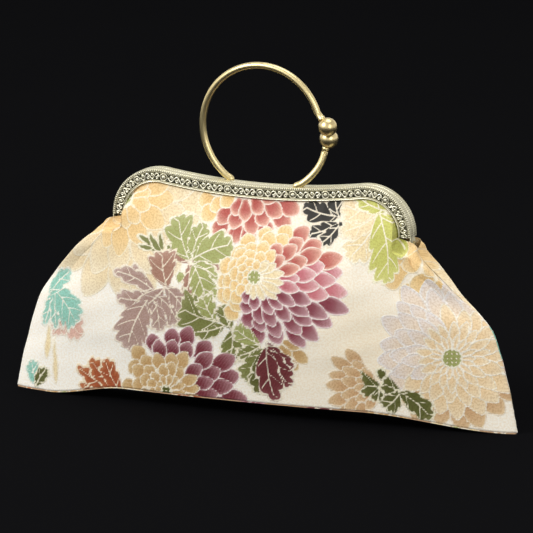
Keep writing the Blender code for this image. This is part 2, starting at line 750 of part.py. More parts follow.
def build():
    """Build every named piece."""
    clear_scene()
    brass = material("antique_brass", BRASS, 1.0, 0.35)
    dark = material("dark_brass", DARK_BRASS, 1.0, 0.45)
    polished = material("polished_brass", BRASS, 1.0, 0.2)
    ball_brass = material("ball_brass", BRASS, 1.0, 0.18)
    silk = material("ivory_brocade", IVORY, 0.0, 0.6)
    base_silk = material("base_brocade", RUSSET, 0.0, 0.65)
    cloth = material("cream_lining", CREAM, 0.0, 0.8)
    paper = material("paper_cord", PAPER, 0.0, 0.9)
    frame_half("front_frame_half", -1, brass)
    frame_half("back_frame_half", 1, brass)
    rivet("left_hinge_rivet", -1, dark)
    rivet("right_hinge_rivet", 1, dark)
    upper = ball_centre(UPPER_BALL_STEP, -BALL_DEPTH)
    lower = ball_centre(LOWER_BALL_STEP, BALL_DEPTH)
    long_arc, into_upper = ring_arc("long_ring_arc", long_path(), upper, polished)
    short_arc, into_lower = ring_arc("short_ring_arc", short_path(), lower, polished)
    clasp_ball("upper_clasp_ball", upper, into_upper, ball_brass)
    clasp_ball("lower_clasp_ball", lower, into_lower, ball_brass)
    cloth_panel("outer_front_panel", OUTER_SHAPE, OUTER_THICKNESS, -1, silk)
    cloth_panel("outer_back_panel", OUTER_SHAPE, OUTER_THICKNESS, 1, silk)
    base_sheet("outer_base_panel", CORNER_X, 0.0, 0.0, OUTER_THICKNESS, base_silk)
    lining_panel("lining_front", -1, cloth)
    lining_panel("lining_back", 1, cloth)
    base_sheet("lining_base", CORNER_X - 12.0, OUTER_THICKNESS + 2.0 * GAP, 1.5, LINING_THICKNESS, cloth)
    paper_cord("front_paper_cord", -1, paper)
    paper_cord("back_paper_cord", 1, paper)


build()
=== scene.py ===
"""Clasp frame purse in ivory chrysanthemum brocade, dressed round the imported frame.

Named sizes are in millimetres and meshes are written in metres, +Z up, with the front at -Y.
"""

from __future__ import annotations

import logging
import math
from dataclasses import dataclass
from enum import Enum

import bpy
import numpy as np
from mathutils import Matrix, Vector

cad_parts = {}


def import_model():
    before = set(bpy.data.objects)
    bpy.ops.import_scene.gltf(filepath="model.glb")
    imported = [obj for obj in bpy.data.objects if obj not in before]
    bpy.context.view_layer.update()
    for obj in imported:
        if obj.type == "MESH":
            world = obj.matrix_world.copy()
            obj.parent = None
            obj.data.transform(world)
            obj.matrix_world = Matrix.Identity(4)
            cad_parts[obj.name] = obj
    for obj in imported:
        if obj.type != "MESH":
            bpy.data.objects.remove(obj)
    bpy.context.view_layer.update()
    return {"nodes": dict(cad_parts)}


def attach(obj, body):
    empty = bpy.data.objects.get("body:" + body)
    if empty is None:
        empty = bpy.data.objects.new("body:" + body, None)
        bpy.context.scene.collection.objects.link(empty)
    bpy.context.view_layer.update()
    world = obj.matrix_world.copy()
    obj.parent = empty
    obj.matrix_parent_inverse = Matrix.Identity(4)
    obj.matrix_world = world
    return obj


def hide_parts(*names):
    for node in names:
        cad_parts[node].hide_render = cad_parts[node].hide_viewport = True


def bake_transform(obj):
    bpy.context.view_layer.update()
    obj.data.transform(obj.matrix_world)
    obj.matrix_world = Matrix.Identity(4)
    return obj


LOG = logging.getLogger("clasp_purse")
MM = 0.001
HALF_WIDTH = 169.0
Array = np.ndarray
Piece = bpy.types.Object
Material = bpy.types.Material
Colour = Place = tuple[float, float, float]
Pair = tuple[float, float]


class Side(Enum):
    """Front or back half of the purse, as the sign of Y."""

    FRONT = -1
    BACK = 1

    @property
    def word(self) -> str:
        """The side's name, as it stands in the names of pieces and nodes."""
        return self.name.lower()

    @property
    def body(self) -> Body:
        """The frame half on this side."""
        return Body[f"{self.name}_FRAME"]


class Body(Enum):
    """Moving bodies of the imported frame."""

    POUCH = "pouch"
    FRONT_FRAME = "front_frame"
    BACK_FRAME = "back_frame"


def ease(low: float, high: float, value: Array | float) -> Array:
    """Ease from 0 to 1 between two values."""
    t = np.clip((np.asarray(value, float) - low) / (high - low), 0.0, 1.0)
    return t * t * (3.0 - 2.0 * t)


def bell(value: Array | float, middle: float, width: float) -> Array:
    """Bell curve that is 1 at its middle."""
    return np.exp(-(((value - middle) / width) ** 2))


def bezier(corners: tuple, t: Array) -> Array:
    """Points of a cubic curve.

    Args:
        corners: The four control points.
        t: Places along the curve, from 0 to 1.

    Returns:
        One row of coordinates for each place.
    """
    t = np.asarray(t, float)[..., None]
    m = 1.0 - t
    p = [np.asarray(corner, float) for corner in corners]
    return m**3 * p[0] + 3.0 * m**2 * t * p[1] + 3.0 * m * t**2 * p[2] + t**3 * p[3]


# Node boards


class Field:
    """A socket of a node board that takes part in sums as a number does."""

    def __init__(self, board: Board, socket: bpy.types.NodeSocket) -> None:
        """Keep the board and the socket."""
        self.board = board
        self.socket = socket

    def math(self, operation: str, *others: Field | float, swap: bool = False) -> Field:
        """Add one Math node.

        Args:
            operation: The node's operation.
            others: The remaining operands.
            swap: Put this field last.

        Returns:
            The node's result.
        """
        values = [*others, self] if swap else [self, *others]
        return self.board.add("Math", {"operation": operation}, dict(enumerate(values)))

    def __add__(self, other: Field | float) -> Field:
        """Sum."""
        return self.math("ADD", other)

    def __sub__(self, other: Field | float) -> Field:
        """Difference."""
        return self.math("SUBTRACT", other)

    def __rsub__(self, other: float) -> Field:
        """Difference from a number."""
        return self.math("SUBTRACT", other, swap=True)

    def __mul__(self, other: Field | float) -> Field:
        """Product."""
        return self.math("MULTIPLY", other)

    __radd__ = __add__
    __rmul__ = __mul__

    def sine(self) -> Field:
        """Sine of this field."""
        return self.math("SINE")

    def eased(self, low: float, high: float) -> Field:
        """Ease from 0 at low to 1 at high."""
        values = {0: self, 1: low, 2: high}
        return self.board.add("MapRange", {"interpolation_type": "SMOOTHSTEP"}, values)


class Board:
    """Node tree of one material or world."""

    def __init__(self, tree: bpy.types.NodeTree) -> None:
        """Keep the tree."""
        self.tree = tree

    def add(self, kind: str, settings: dict, values: dict, output: int | str = 0) -> Field:
        """Add any node.

        Args:
            kind: Blender's name of the node type, after its first word ShaderNode.
            settings: Properties, and a ramp's stops, which are set first.
            values: Number, colour or field for each input, by name or place.
            output: The output to return.

        Returns:
            The chosen output as a field.
        """
        node = self.tree.nodes.new("ShaderNode" + kind)
        for name, value in settings.items():
            if name == "stops":
                ramp = node.color_ramp
                while len(ramp.elements) < len(value):
                    ramp.elements.new(0.5)
                for element, (place, colour) in zip(ramp.elements, value):
                    element.position = place
                    element.color = (*colour, 1.0)
            else:
                setattr(node, name, value)
        for name, value in values.items():
            self.plug(node.inputs[name], value)
        return Field(self, node.outputs[output])

    def plug(self, socket: bpy.types.NodeSocket, value: Field | float | tuple) -> None:
        """Link a field to an input, or write a value on it.

        Args:
            socket: The input.
            value: Field, number or colour.
        """
        if isinstance(value, Field):
            self.tree.links.new(value.socket, socket)
        elif isinstance(value, tuple) and socket.type == "RGBA" and len(value) == 3:
            socket.default_value = (*value, 1.0)
        else:
            socket.default_value = value

    def attribute(self, name: str, output: str = "Fac") -> Field:
        """Read a mesh attribute."""
        return self.add("Attribute", {"attribute_name": name}, {}, output)

    def place(self, scale: Place = (1.0, 1.0, 1.0)) -> Field:
        """Object coordinates, scaled on each axis."""
        spot = self.add("TexCoord", {}, {}, "Object")
        return self.add("VectorMath", {"operation": "MULTIPLY"}, {0: spot, 1: scale})

    def noise(self, spot: Field, scale: float, detail: float) -> Field:
        """Smooth noise from 0 to 1."""
        return self.add("TexNoise", {}, {"Vector": spot, "Scale": scale, "Detail": detail})

    def mix(self, factor: Field | float, low: Field | Colour, high: Field | Colour) -> Field:
        """Mix two colours."""
        return self.add("Mix", {"data_type": "RGBA"}, {0: factor, 6: low, 7: high}, 2)

    def tint(self, colour: Field, amount: Field | float, other: Field | Colour) -> Field:
        """Multiply a colour by another, by a share."""
        settings = {"data_type": "RGBA", "blend_type": "MULTIPLY"}
        return self.add("Mix", settings, {0: amount, 6: colour, 7: other}, 2)

    def bump(self, height: Field, distance: float, strength: float = 1.0) -> Field:
        """Bump from a height, with its depth in metres."""
        return self.add("Bump", {}, {"Height": height, "Distance": distance, "Strength": strength})


class Paint(Board):
    """Node board of one Principled material."""

    def __init__(self, name: str, constants: dict[str, float]) -> None:
        """Start the material, with the values that are the same all over the surface.

        Args:
            name: The material's name.
            constants: Value of each such input, by name.
        """
        self.material = bpy.data.materials.new(name)
        self.material.use_nodes = True
        super().__init__(self.material.node_tree)
        self.shader = self.tree.nodes["Principled BSDF"]
        for socket, value in constants.items():
            self.shader.inputs[socket].default_value = value

    def dressed(self, **fields: Field) -> Material:
        """Link the fields that vary over the surface, and return the material.

        Args:
            fields: Field for each input, named in lower case with an underscore for a space.

        Returns:
            The finished material.
        """
        for name, value in fields.items():
            self.plug(self.shader.inputs[name.replace("_", " ").title()], value)
        return self.material


@dataclass(frozen=True)
class EmbossedBrass:
    """Antique brass of the frame: bright on the relief, from wear and a painted highlight, dark green-brown
    in its recesses.
    """

    name: str = "embossed_antique_brass"
    # Pale colour of the relief tops: rubbed brass with a painted highlight laid in.
    worn_and_highlight: Colour = (0.99, 0.97, 0.83)
    body: Colour = (0.66, 0.61, 0.42)
    recess: Colour = (0.04, 0.042, 0.024)

    def material(self) -> Material:
        """Build the material from the mesh's relief and patina fields.

        Returns:
            The finished material.
        """
        board = Paint(self.name, {"Metallic": 1.0})
        relief = board.attribute("relief")
        spot = board.place()
        cloud = board.noise(spot, 190.0, 4.0)
        speck = board.noise(spot, 1400.0, 3.0)
        # Mask of the relief tops, where the worn colour and its painted highlight go.
        high = (relief + (speck - 0.5) * 0.22).eased(0.25, 0.8)
        low = (relief + (cloud - 0.5) * 0.3).eased(-0.02, 0.34)
        colour = board.mix(low, self.recess, self.body)
        colour = board.mix(high, colour, self.worn_and_highlight)
        colour = board.tint(colour, cloud.eased(0.35, 0.75) * 0.35, (0.62, 0.60, 0.42))
        rough = 0.58 - high * 0.2 + (speck - 0.5) * 0.12
        normal = board.bump(speck, 0.00006)
        return board.dressed(base_color=colour, roughness=rough, normal=normal)


@dataclass(frozen=True)
class DrawnBrass:
    """Lacquered antique brass of rods, balls and rivets, with a thin brown patina."""

    name: str
    metal: Colour
    patina: Colour
    roughness: float

    def material(self) -> Material:
        """Build the material with drawn streaks and soft tarnish.

        Returns:
            The finished material.
        """
        board = Paint(self.name, {"Metallic": 1.0})
        spot = board.place()
        cloud = board.noise(spot, 120.0, 3.0)
        grain = board.noise(board.place((1.0, 1.0, 6.0)), 900.0, 2.0)
        tarnish = cloud.eased(0.45, 0.8) * 0.3 + grain.eased(0.5, 0.8) * 0.15
        colour = board.mix(tarnish, self.metal, self.patina)
        rough = self.roughness + cloud * 0.1 + grain * 0.05
        normal = board.bump(grain, 0.00002)
        return board.dressed(base_color=colour, roughness=rough, normal=normal)


@dataclass(frozen=True)
class WovenSilk:
    """Brocade whose threads, outlines and relief come from fields on the mesh."""

    name: str
    line_width: float = 0.42

    def material(self) -> Material:
        """Build the material: woven motifs, cream outlines, crepe ground and weft ribs.

        Returns:
            The finished material.
        """
        constants = {"Sheen Weight": 0.18, "Sheen Roughness": 0.4, "Specular IOR Level": 0.32}
        board = Paint(self.name, constants)
        thread = board.attribute("thread", "Color")
        outline = board.attribute("outline", "Color")
        line = board.attribute("line")
        raised = board.attribute("raised")
        cloth = board.attribute("cloth", "Vector")
        split = board.add("SeparateXYZ", {}, {0: cloth}, 0)
        height = board.add("SeparateXYZ", {}, {0: cloth}, 1)
        crepe = board.noise(cloth, 0.85, 3.0)
        fine = board.noise(cloth, 2.4, 2.0)
        weft = (height * (math.tau / 0.62) + crepe * 2.0).sine() * 0.5 + 0.5
        warp = (split * (math.tau / 0.55)).sine() * 0.5 + 0.5
        ragged = line + (fine - 0.5) * 0.5
        mask = 1.0 - ragged.eased(self.line_width * 0.55, self.line_width * 1.5)
        colour = board.mix(mask, thread, outline)
        shade = (crepe.eased(0.4, 0.62) * 0.75 + fine * 0.3) * (1.0 - raised * 0.2)
        colour = board.tint(colour, shade * 0.5, (0.86, 0.72, 0.52))
        floss = ((1.0 - weft) * 0.24 + crepe.eased(0.45, 0.62) * 0.3) * raised
        colour = board.tint(colour, floss, (0.62, 0.55, 0.50))
        relief = raised * 0.35 + mask * 0.45 + weft * 0.16 + warp * 0.08 + crepe * 0.5 + fine * 0.15
        rough = 0.62 - raised * 0.12 - mask * 0.08 + (fine - 0.5) * 0.14
        normal = board.bump(relief, 0.00032, 0.8)
        return board.dressed(base_color=colour, roughness=rough, normal=normal)


@dataclass(frozen=True)
class PlainCloth:
    """Plain woven cotton or twisted paper."""

    name: str
    colour: Colour
    shadow: Colour
    pitch: float

    def material(self) -> Material:
        """Build the material with a plain weave and soft slubs.

        Returns:
            The finished material.
        """
        constants = {"Sheen Weight": 0.15, "Specular IOR Level": 0.25}
        board = Paint(self.name, constants)
        spot = board.place((1000.0, 1000.0, 1000.0))
        parts = [board.add("SeparateXYZ", {}, {0: spot}, axis) for axis in (0, 2)]
        weave = [(part * (math.tau / self.pitch)).sine() for part in parts]
        check = weave[0] * weave[1] * 0.5 + 0.5
        slub = board.noise(spot, 0.35, 3.0)
        colour = board.mix(slub.eased(0.35, 0.75) * 0.6 + check * 0.2, self.colour, self.shadow)
        rough = 0.82 - check * 0.1 + slub * 0.08
        normal = board.bump(check * 0.5 + slub * 0.5, 0.0002, 0.7)
        return board.dressed(base_color=colour, roughness=rough, normal=normal)


# Meshes


def add_piece(name: str, points: Array, faces: list, material: Material) -> Piece:
    """Add one smooth mesh.

    Args:
        name: The piece's name.
        points: Corner points in millimetres.
        faces: Corner numbers of each face.
        material: The finish.

    Returns:
        The new object.
    """
    mesh = bpy.data.meshes.new(name)
    mesh.from_pydata((np.asarray(points, float).reshape(-1, 3) * MM).tolist(), [], faces)
    mesh.polygons.foreach_set("use_smooth", [True] * len(mesh.polygons))
    mesh.materials.append(material)
    mesh.update()
    piece = bpy.data.objects.new(name, mesh)
    bpy.context.scene.collection.objects.link(piece)
    LOG.info("%s: %d points, %d faces", name, len(mesh.vertices), len(faces))
    return piece


def set_field(piece: Piece, name: str, values: Array) -> None:
    """Store one number, or one colour or place of three numbers, at each point.

    Args:
        piece: The mesh piece.
        name: The field's name.
        values: One value or row for each point.
    """
    kind, key = ("FLOAT", "value") if values.ndim == 1 else ("FLOAT_VECTOR", "vector")
    layer = piece.data.attributes.new(name, kind, "POINT")
    layer.data.foreach_set(key, np.ascontiguousarray(values, np.float32).ravel())


def seat(piece: Piece, node: str, body: Body | None = None) -> None:
    """Let a piece stand for a CAD node and the body that carries it.

    Args:
        piece: The new piece.
        node: The CAD node that it stands for.
        body: The body that carries it, if any.
    """
    if body:
        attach(piece, body.value)
    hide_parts(node)


def grid_faces(rows: int, columns: int, ring: bool = False, start: int = 0, turned: bool = False) -> list:
    """Quads of a grid of points.

    Args:
        rows: Count of rows.
        columns: Count of points in a row.
        ring: Join each row's last point to its first.
        start: Number of the grid's first point.
        turned: Wind the faces the other way.

    Returns:
        The faces' corner numbers.
    """
    across = np.arange(columns if ring else columns - 1)
    after = (across + 1) % columns
    faces = []
    for row in range(rows - 1):
        low, high = start + row * columns, start + (row + 1) * columns
        quad = [low + across, low + after, high + after, high + across]
        if turned:
            quad.reverse()
        faces.extend(np.stack(quad, 1).tolist())
    return faces


def closed_sheet(outside: Array, inside: Array) -> tuple[Array, list]:
    """Join two grids of one size into a closed sheet; the outer one is wound outward.

    Args:
        outside: Grid of the outer side.
        inside: Grid of the inner side.

    Returns:
        The points and faces.
    """
    rows, columns = outside.shape[:2]
    size = rows * columns
    faces = grid_faces(rows, columns) + grid_faces(rows, columns, start=size, turned=True)
    border = list(range(columns)) + [row * columns + columns - 1 for row in range(1, rows)]
    border += [(rows - 1) * columns + k for k in range(columns - 2, -1, -1)]
    border += [row * columns for row in range(rows - 2, 0, -1)]
    for a, b in zip(border, border[1:] + border[:1]):
        faces.append([b, a, size + a, size + b])
    return np.concatenate([outside.reshape(-1, 3), inside.reshape(-1, 3)]), faces


def capped(rings: list, turned: bool = False) -> tuple[Array, list]:
    """Join rings of points into a form with closed ends; turned winds it the other way.

    Args:
        rings: The rings, one after another.
        turned: Wind the faces the other way.

    Returns:
        The points and faces.
    """
    sides = len(rings[0])
    last = (len(rings) - 1) * sides
    caps = [list(range(sides))[::-1], [last + k for k in range(sides)]]
    faces = grid_faces(len(rings), sides, ring=True, turned=turned)
    return np.concatenate(rings), faces + [cap[::-1] if turned else cap for cap in caps]


def circle(side: Array, up: Array, count: int) -> Array:
    """Points of a unit circle, from one direction towards another."""
    turns = np.linspace(0.0, math.tau, count, endpoint=False)[:, None]
    return np.cos(turns) * side + np.sin(turns) * up


def tube(path: Array, radii: Array, sides: int) -> tuple[Array, list]:
    """Round rod along a path, with closed ends.

    Args:
        path: Centre points.
        radii: Radius at each point.
        sides: Points round the rod.

    Returns:
        The rod's points and faces.
    """
    along = np.gradient(path, axis=0)
    along /= np.linalg.norm(along, axis=1, keepdims=True)
    side = np.cross(along[0], (0.0, 1.0, 0.0))
    rings = []
    for point, way, radius in zip(path, along, radii):
        side = side - way * np.dot(side, way)
        side /= np.linalg.norm(side)
        rings.append(point + radius * circle(side, np.cross(way, side), sides))
    return capped(rings)


def lathe(profile: Array, origin: Array, axis: Array, sides: int) -> tuple[Array, list]:
    """Turn a profile of (distance along the axis, radius) that starts and ends near the axis.

    Args:
        profile: Rows of distance and radius.
        origin: Where the distance is 0.
        axis: Direction of the axis.
        sides: Points round the form.

    Returns:
        The points and faces.
    """
    axis = np.asarray(axis, float) / np.linalg.norm(axis)
    helper = np.array([0.0, 0.0, 1.0]) if abs(axis[2]) < 0.9 else np.array([1.0, 0.0, 0.0])
    side = np.cross(axis, helper)
    side /= np.linalg.norm(side)
    ring = circle(side, np.cross(axis, side), sides)
    return capped([origin + axis * along + ring * radius for along, radius in profile])


# Frame


@dataclass(frozen=True)
class FrameCurve:
    """Outer curve of the clasp frame: two humps with a shallow dip between them."""

    hump_radius: float = 30.0
    hump_x: float = 70.0
    hump_z: float = 119.5
    sag_radius: float = 430.0
    end_z: float = 119.0

    def sag_z(self) -> float:
        """Height of the dip's centre."""
        return self.hump_z + math.sqrt((self.sag_radius + self.hump_radius) ** 2 - self.hump_x**2)

    def crown_z(self, x: float) -> float:
        """Height of the frame's top over a point of the dip."""
        return self.sag_z() - math.sqrt(self.sag_radius**2 - x**2)

    def line(self, count: int, end_z: float) -> Array:
        """Sample the curve evenly.

        Args:
            count: Count of stations.
            end_z: Height at which both ends stop.

        Returns:
            For each station x, z, the inward normal's x and z, and the length from the middle.
        """
        swing = math.asin(self.hump_x / (self.sag_radius + self.hump_radius))
        a = np.linspace(0.0, swing, 121)
        dip = np.stack([self.sag_radius * np.sin(a), self.sag_z() - self.sag_radius * np.cos(a)], 1)
        dip = np.hstack([dip, np.stack([np.sin(a), -np.cos(a)], 1)])
        b = np.linspace(math.pi / 2 + swing, 0.0, 181)[1:]
        spot = np.stack([np.cos(b), np.sin(b)], 1)
        hump = np.hstack([(self.hump_x, self.hump_z) + self.hump_radius * spot, -spot])
        foot = np.array([[self.hump_x + self.hump_radius, end_z, -1.0, 0.0]])
        half = np.vstack([dip, hump, foot])
        line = np.vstack([half[:0:-1] * np.array([-1.0, 1.0, -1.0, 1.0]), half])
        steps = np.hypot(np.diff(line[:, 0]), np.diff(line[:, 1]))
        length = np.concatenate([[0.0], np.cumsum(steps)])
        wanted = np.linspace(0.0, length[-1], count)
        columns = [np.interp(wanted, length, line[:, k]) for k in range(4)]
        return np.stack([*columns, wanted - length[-1] / 2.0], 1)


@dataclass
class ClaspFrame:
    """Both embossed channels of the frame, with their hinge ears and rivets."""

    curve: FrameCurve
    brass: Material
    dark: Material
    band: float = 8.4
    inner_wall: float = 7.6
    half_depth: float = 5.6
    parting: float = 0.15
    wall: float = 0.7
    stations: int = 1100
    pitch: float = 21.6
    relief: float = 0.5
    vine_line: float = 4.45
    bead_pitch: float = 1.35
    hinge_z: float = 114.0
    ear_radius: float = 4.5
    ear_x: float = 99.25
    ear_step: float = 1.0
    ear_thickness: float = 0.7
    rivet_head: float = 2.4
    rivet_dome: float = 0.95
    rivet_pin: float = 1.2
    rivet_gap: float = 0.3
    bead_line: float = 0.95
    thread_line: float = 1.75
    inner_rim: float = 7.1
    outer_rim: float = 7.85
    vine_gap: float = 3.3
    vine_swing: float = 1.75
    curl_radius: float = 1.15
    curl_drop: float = 0.75
    curl_turns: float = 2.3
    leaf_pitch: float = 1.8
    rib_pitch: float = 1.5
    side_middle: float = 2.87
    side_reach: float = 2.25

    def scroll(self) -> Array:
        """Points of one pitch of vine: a wave with a curl in each bend.

        Returns:
            Rows of place along the frame and distance inward.
        """
        start, stop = self.vine_gap, self.pitch - self.vine_gap
        a = np.linspace(start, stop, 70)
        turn = (a - start) / (stop - start) * 4.0 * math.pi
        parts = [np.stack([a, self.vine_line + self.vine_swing * np.sin(turn)], 1)]
        swirl = np.linspace(0.3, 1.0, 22)
        reach = self.curl_radius * swirl
        for k in range(4):
            middle = start + (k + 0.5) * (stop - start) / 4.0
            sign = 1.0 if k % 2 == 0 else -1.0
            angle = sign * swirl * self.curl_turns * math.pi
            high = self.vine_line - sign * self.curl_drop + reach * np.sin(angle)
            parts.append(np.stack([middle + reach * np.cos(angle), high], 1))
        return np.concatenate(parts)

    def pattern(self, length: Array, offset: float) -> Array:
        """Height of the relief, from 0 to about 1.

        Args:
            length: Places along the frame.
            offset: Distance inward from the outer curve.

        Returns:
            The height at each place.
        """
        rim = 0.75 * bell(offset, self.outer_rim, 0.3) + 0.5 * bell(offset, self.inner_rim, 0.22)
        beads = 0.55 + 0.45 * np.cos(math.tau * length / self.bead_pitch)
        bead = 0.85 * bell(offset, self.bead_line, 0.42) * beads
        edging = np.maximum(rim, np.maximum(bead, 0.4 * bell(offset, self.thread_line, 0.2)))
        place = np.mod(length, self.pitch)
        over = np.where(place > self.pitch / 2, place - self.pitch, place)
        away = np.hypot(over, offset - self.vine_line)
        spin = np.arctan2(offset - self.vine_line, over)
        rosette = (1.0 - ease(0.5, 1.7, away)) * (0.7 + 0.3 * np.cos(6.0 * spin))
        nearest = np.full(place.shape, 9.0)
        for x, z in self.scroll():
            nearest = np.minimum(nearest, np.hypot(place - x, offset - z))
        leaf = 0.5 * ease(0.25, 0.9, np.sin(math.tau * length / self.leaf_pitch) * np.sin(1.9 * offset))
        field = ease(1.9, 2.3, offset) * (1.0 - ease(6.5, 6.9, offset))
        outside = ease(2.5, 3.0, away)
        inner = np.maximum(0.8 * bell(away, 2.25, 0.32), rosette) * (1.0 - outside)
        inner = inner + np.maximum(bell(nearest, 0.0, 0.36), leaf * 0.55) * outside
        return np.maximum(edging, inner * field)

    def channel(self, side: Side) -> tuple[Array, list, Array]:
        """Points, faces and relief of one embossed channel.

        Args:
            side: Front or back.

        Returns:
            The channel's points, its faces and the relief at each point.
        """
        line = self.curve.line(self.stations, self.curve.end_z)
        length = line[:, 4]
        back, front = self.parting + self.wall, self.half_depth - self.wall
        sections = [(offset, self.parting, 0.25) for offset in (self.inner_wall, 0.45)]
        for depth in np.linspace(self.parting + 0.5, self.half_depth - 0.5, 16):
            ribs = 0.5 + 0.5 * math.cos(math.tau * (depth - self.parting - 0.5) / self.rib_pitch)
            high = ribs * (0.6 + 0.4 * np.cos(math.tau * length / self.bead_pitch))
            corner = 0.35 * float(ease(0.9, 1.0, abs(depth - self.side_middle) / self.side_reach))
            sections.append((corner - 0.16 * high, depth, 0.2 + 0.5 * high))
        for start, stop, step in ((0.5, 1.9, 0.16), (1.9, 6.9, 0.2), (6.9, 8.3, 0.14)):
            for offset in np.arange(start, stop, step):
                high = self.pattern(length, offset)
                sections.append((offset, self.half_depth - 0.12 + self.relief * high, high))
        sections += [(self.band, self.half_depth - 0.1, 0.4), (self.band, front, 0.4)]
        sections += [(0.8, front, 0.1), (0.8, back, 0.1), (self.inner_wall, back, 0.1)]
        offsets, depths, relief = [
            np.stack([np.broadcast_to(section[k], len(line)) for section in sections], 1) for k in range(3)
        ]
        x, z = line[:, :1] + offsets * line[:, 2:3], line[:, 1:2] + offsets * line[:, 3:4]
        points = np.stack([x, side.value * depths, z], 2)
        count = len(sections)
        faces = grid_faces(len(line), count, ring=True, turned=side is Side.BACK)
        ends = [list(range(count)), [(len(line) - 1) * count + k for k in range(count)][::-1]]
        faces += [end[::-1] if side is Side.BACK else end for end in ends]
        return points.reshape(-1, 3), faces, relief.ravel()

    def ear(self, side: Side, sign: int) -> tuple[Array, list]:
        """Rounded hinge plate at one end of a channel.

        Args:
            side: Front or back.
            sign: 1 for the right end, -1 for the left.

        Returns:
            The points and faces.
        """
        low = self.ear_x - (self.ear_step if side is Side.BACK else 0.0)
        a = np.radians(np.linspace(95.0, -150.0, 40))
        tail = np.array([(5.1, 1.5), (5.1, 7.5), (0.4, 7.5)])
        y = side.value * np.concatenate([-self.ear_radius * np.cos(a), tail[:, 0]])
        z = self.hinge_z + np.concatenate([self.ear_radius * np.sin(a), tail[:, 1]])
        rings = []
        thick = self.ear_thickness
        for step, inset in ((0.0, 0.15), (0.12, 0.0), (thick - 0.12, 0.0), (thick, 0.15)):
            x = np.full(len(y), sign * (low + step))
            shrink = 1.0 - inset / self.ear_radius
            rings.append(np.stack([x, *(axis.mean() + (axis - axis.mean()) * shrink for axis in (y, z))], 1))
        return capped(rings, turned=side.value * sign > 0)

    def half(self, side: Side) -> None:
        """Build one half of the frame with both its ears.

        Args:
            side: Front or back.
        """
        points, faces, relief = self.channel(side)
        for sign in (-1, 1):
            more, plates = self.ear(side, sign)
            faces += [[corner + len(points) for corner in face] for face in plates]
            points = np.concatenate([points, more])
            relief = np.concatenate([relief, np.full(len(more), 0.35)])
        piece = add_piece(f"{side.word}_embossed_channel", points, faces, self.brass)
        set_field(piece, "relief", relief)
        seat(piece, f"{side.word}_frame_half", side.body)

    def rivet(self, name: str, sign: int) -> None:
        """Build one hinge pin with a domed head on each end.

        Args:
            name: The CAD node that the rivet replaces.
            sign: 1 for the right end, -1 for the left.
        """
        low = self.ear_x - self.ear_step - self.rivet_gap
        high = self.ear_x + self.ear_thickness + self.rivet_gap
        a = np.linspace(0.06, math.pi / 2, 12)
        dome = np.stack([-self.rivet_dome * np.cos(a), self.rivet_head * np.sin(a)], 1)
        profile = [(low + d[0], d[1]) for d in dome]
        pin = self.rivet_pin
        profile += [(low + 0.05, 2.3), (low + 0.06, pin), (high - 0.06, pin), (high - 0.05, 2.3)]
        profile += [(high - d[0], d[1]) for d in dome[::-1]]
        points, faces = lathe(np.array(profile), np.array([0.0, 0.0, self.hinge_z]), (sign, 0, 0), 32)
        seat(add_piece(f"{name}_domed", points, faces, self.dark), name, Body.BACK_FRAME)

    def build(self) -> None:
        """Build both halves and both rivets."""
        for side in Side:
            self.half(side)
        self.rivet("left_hinge_rivet", -1)
        self.rivet("right_hinge_rivet", 1)


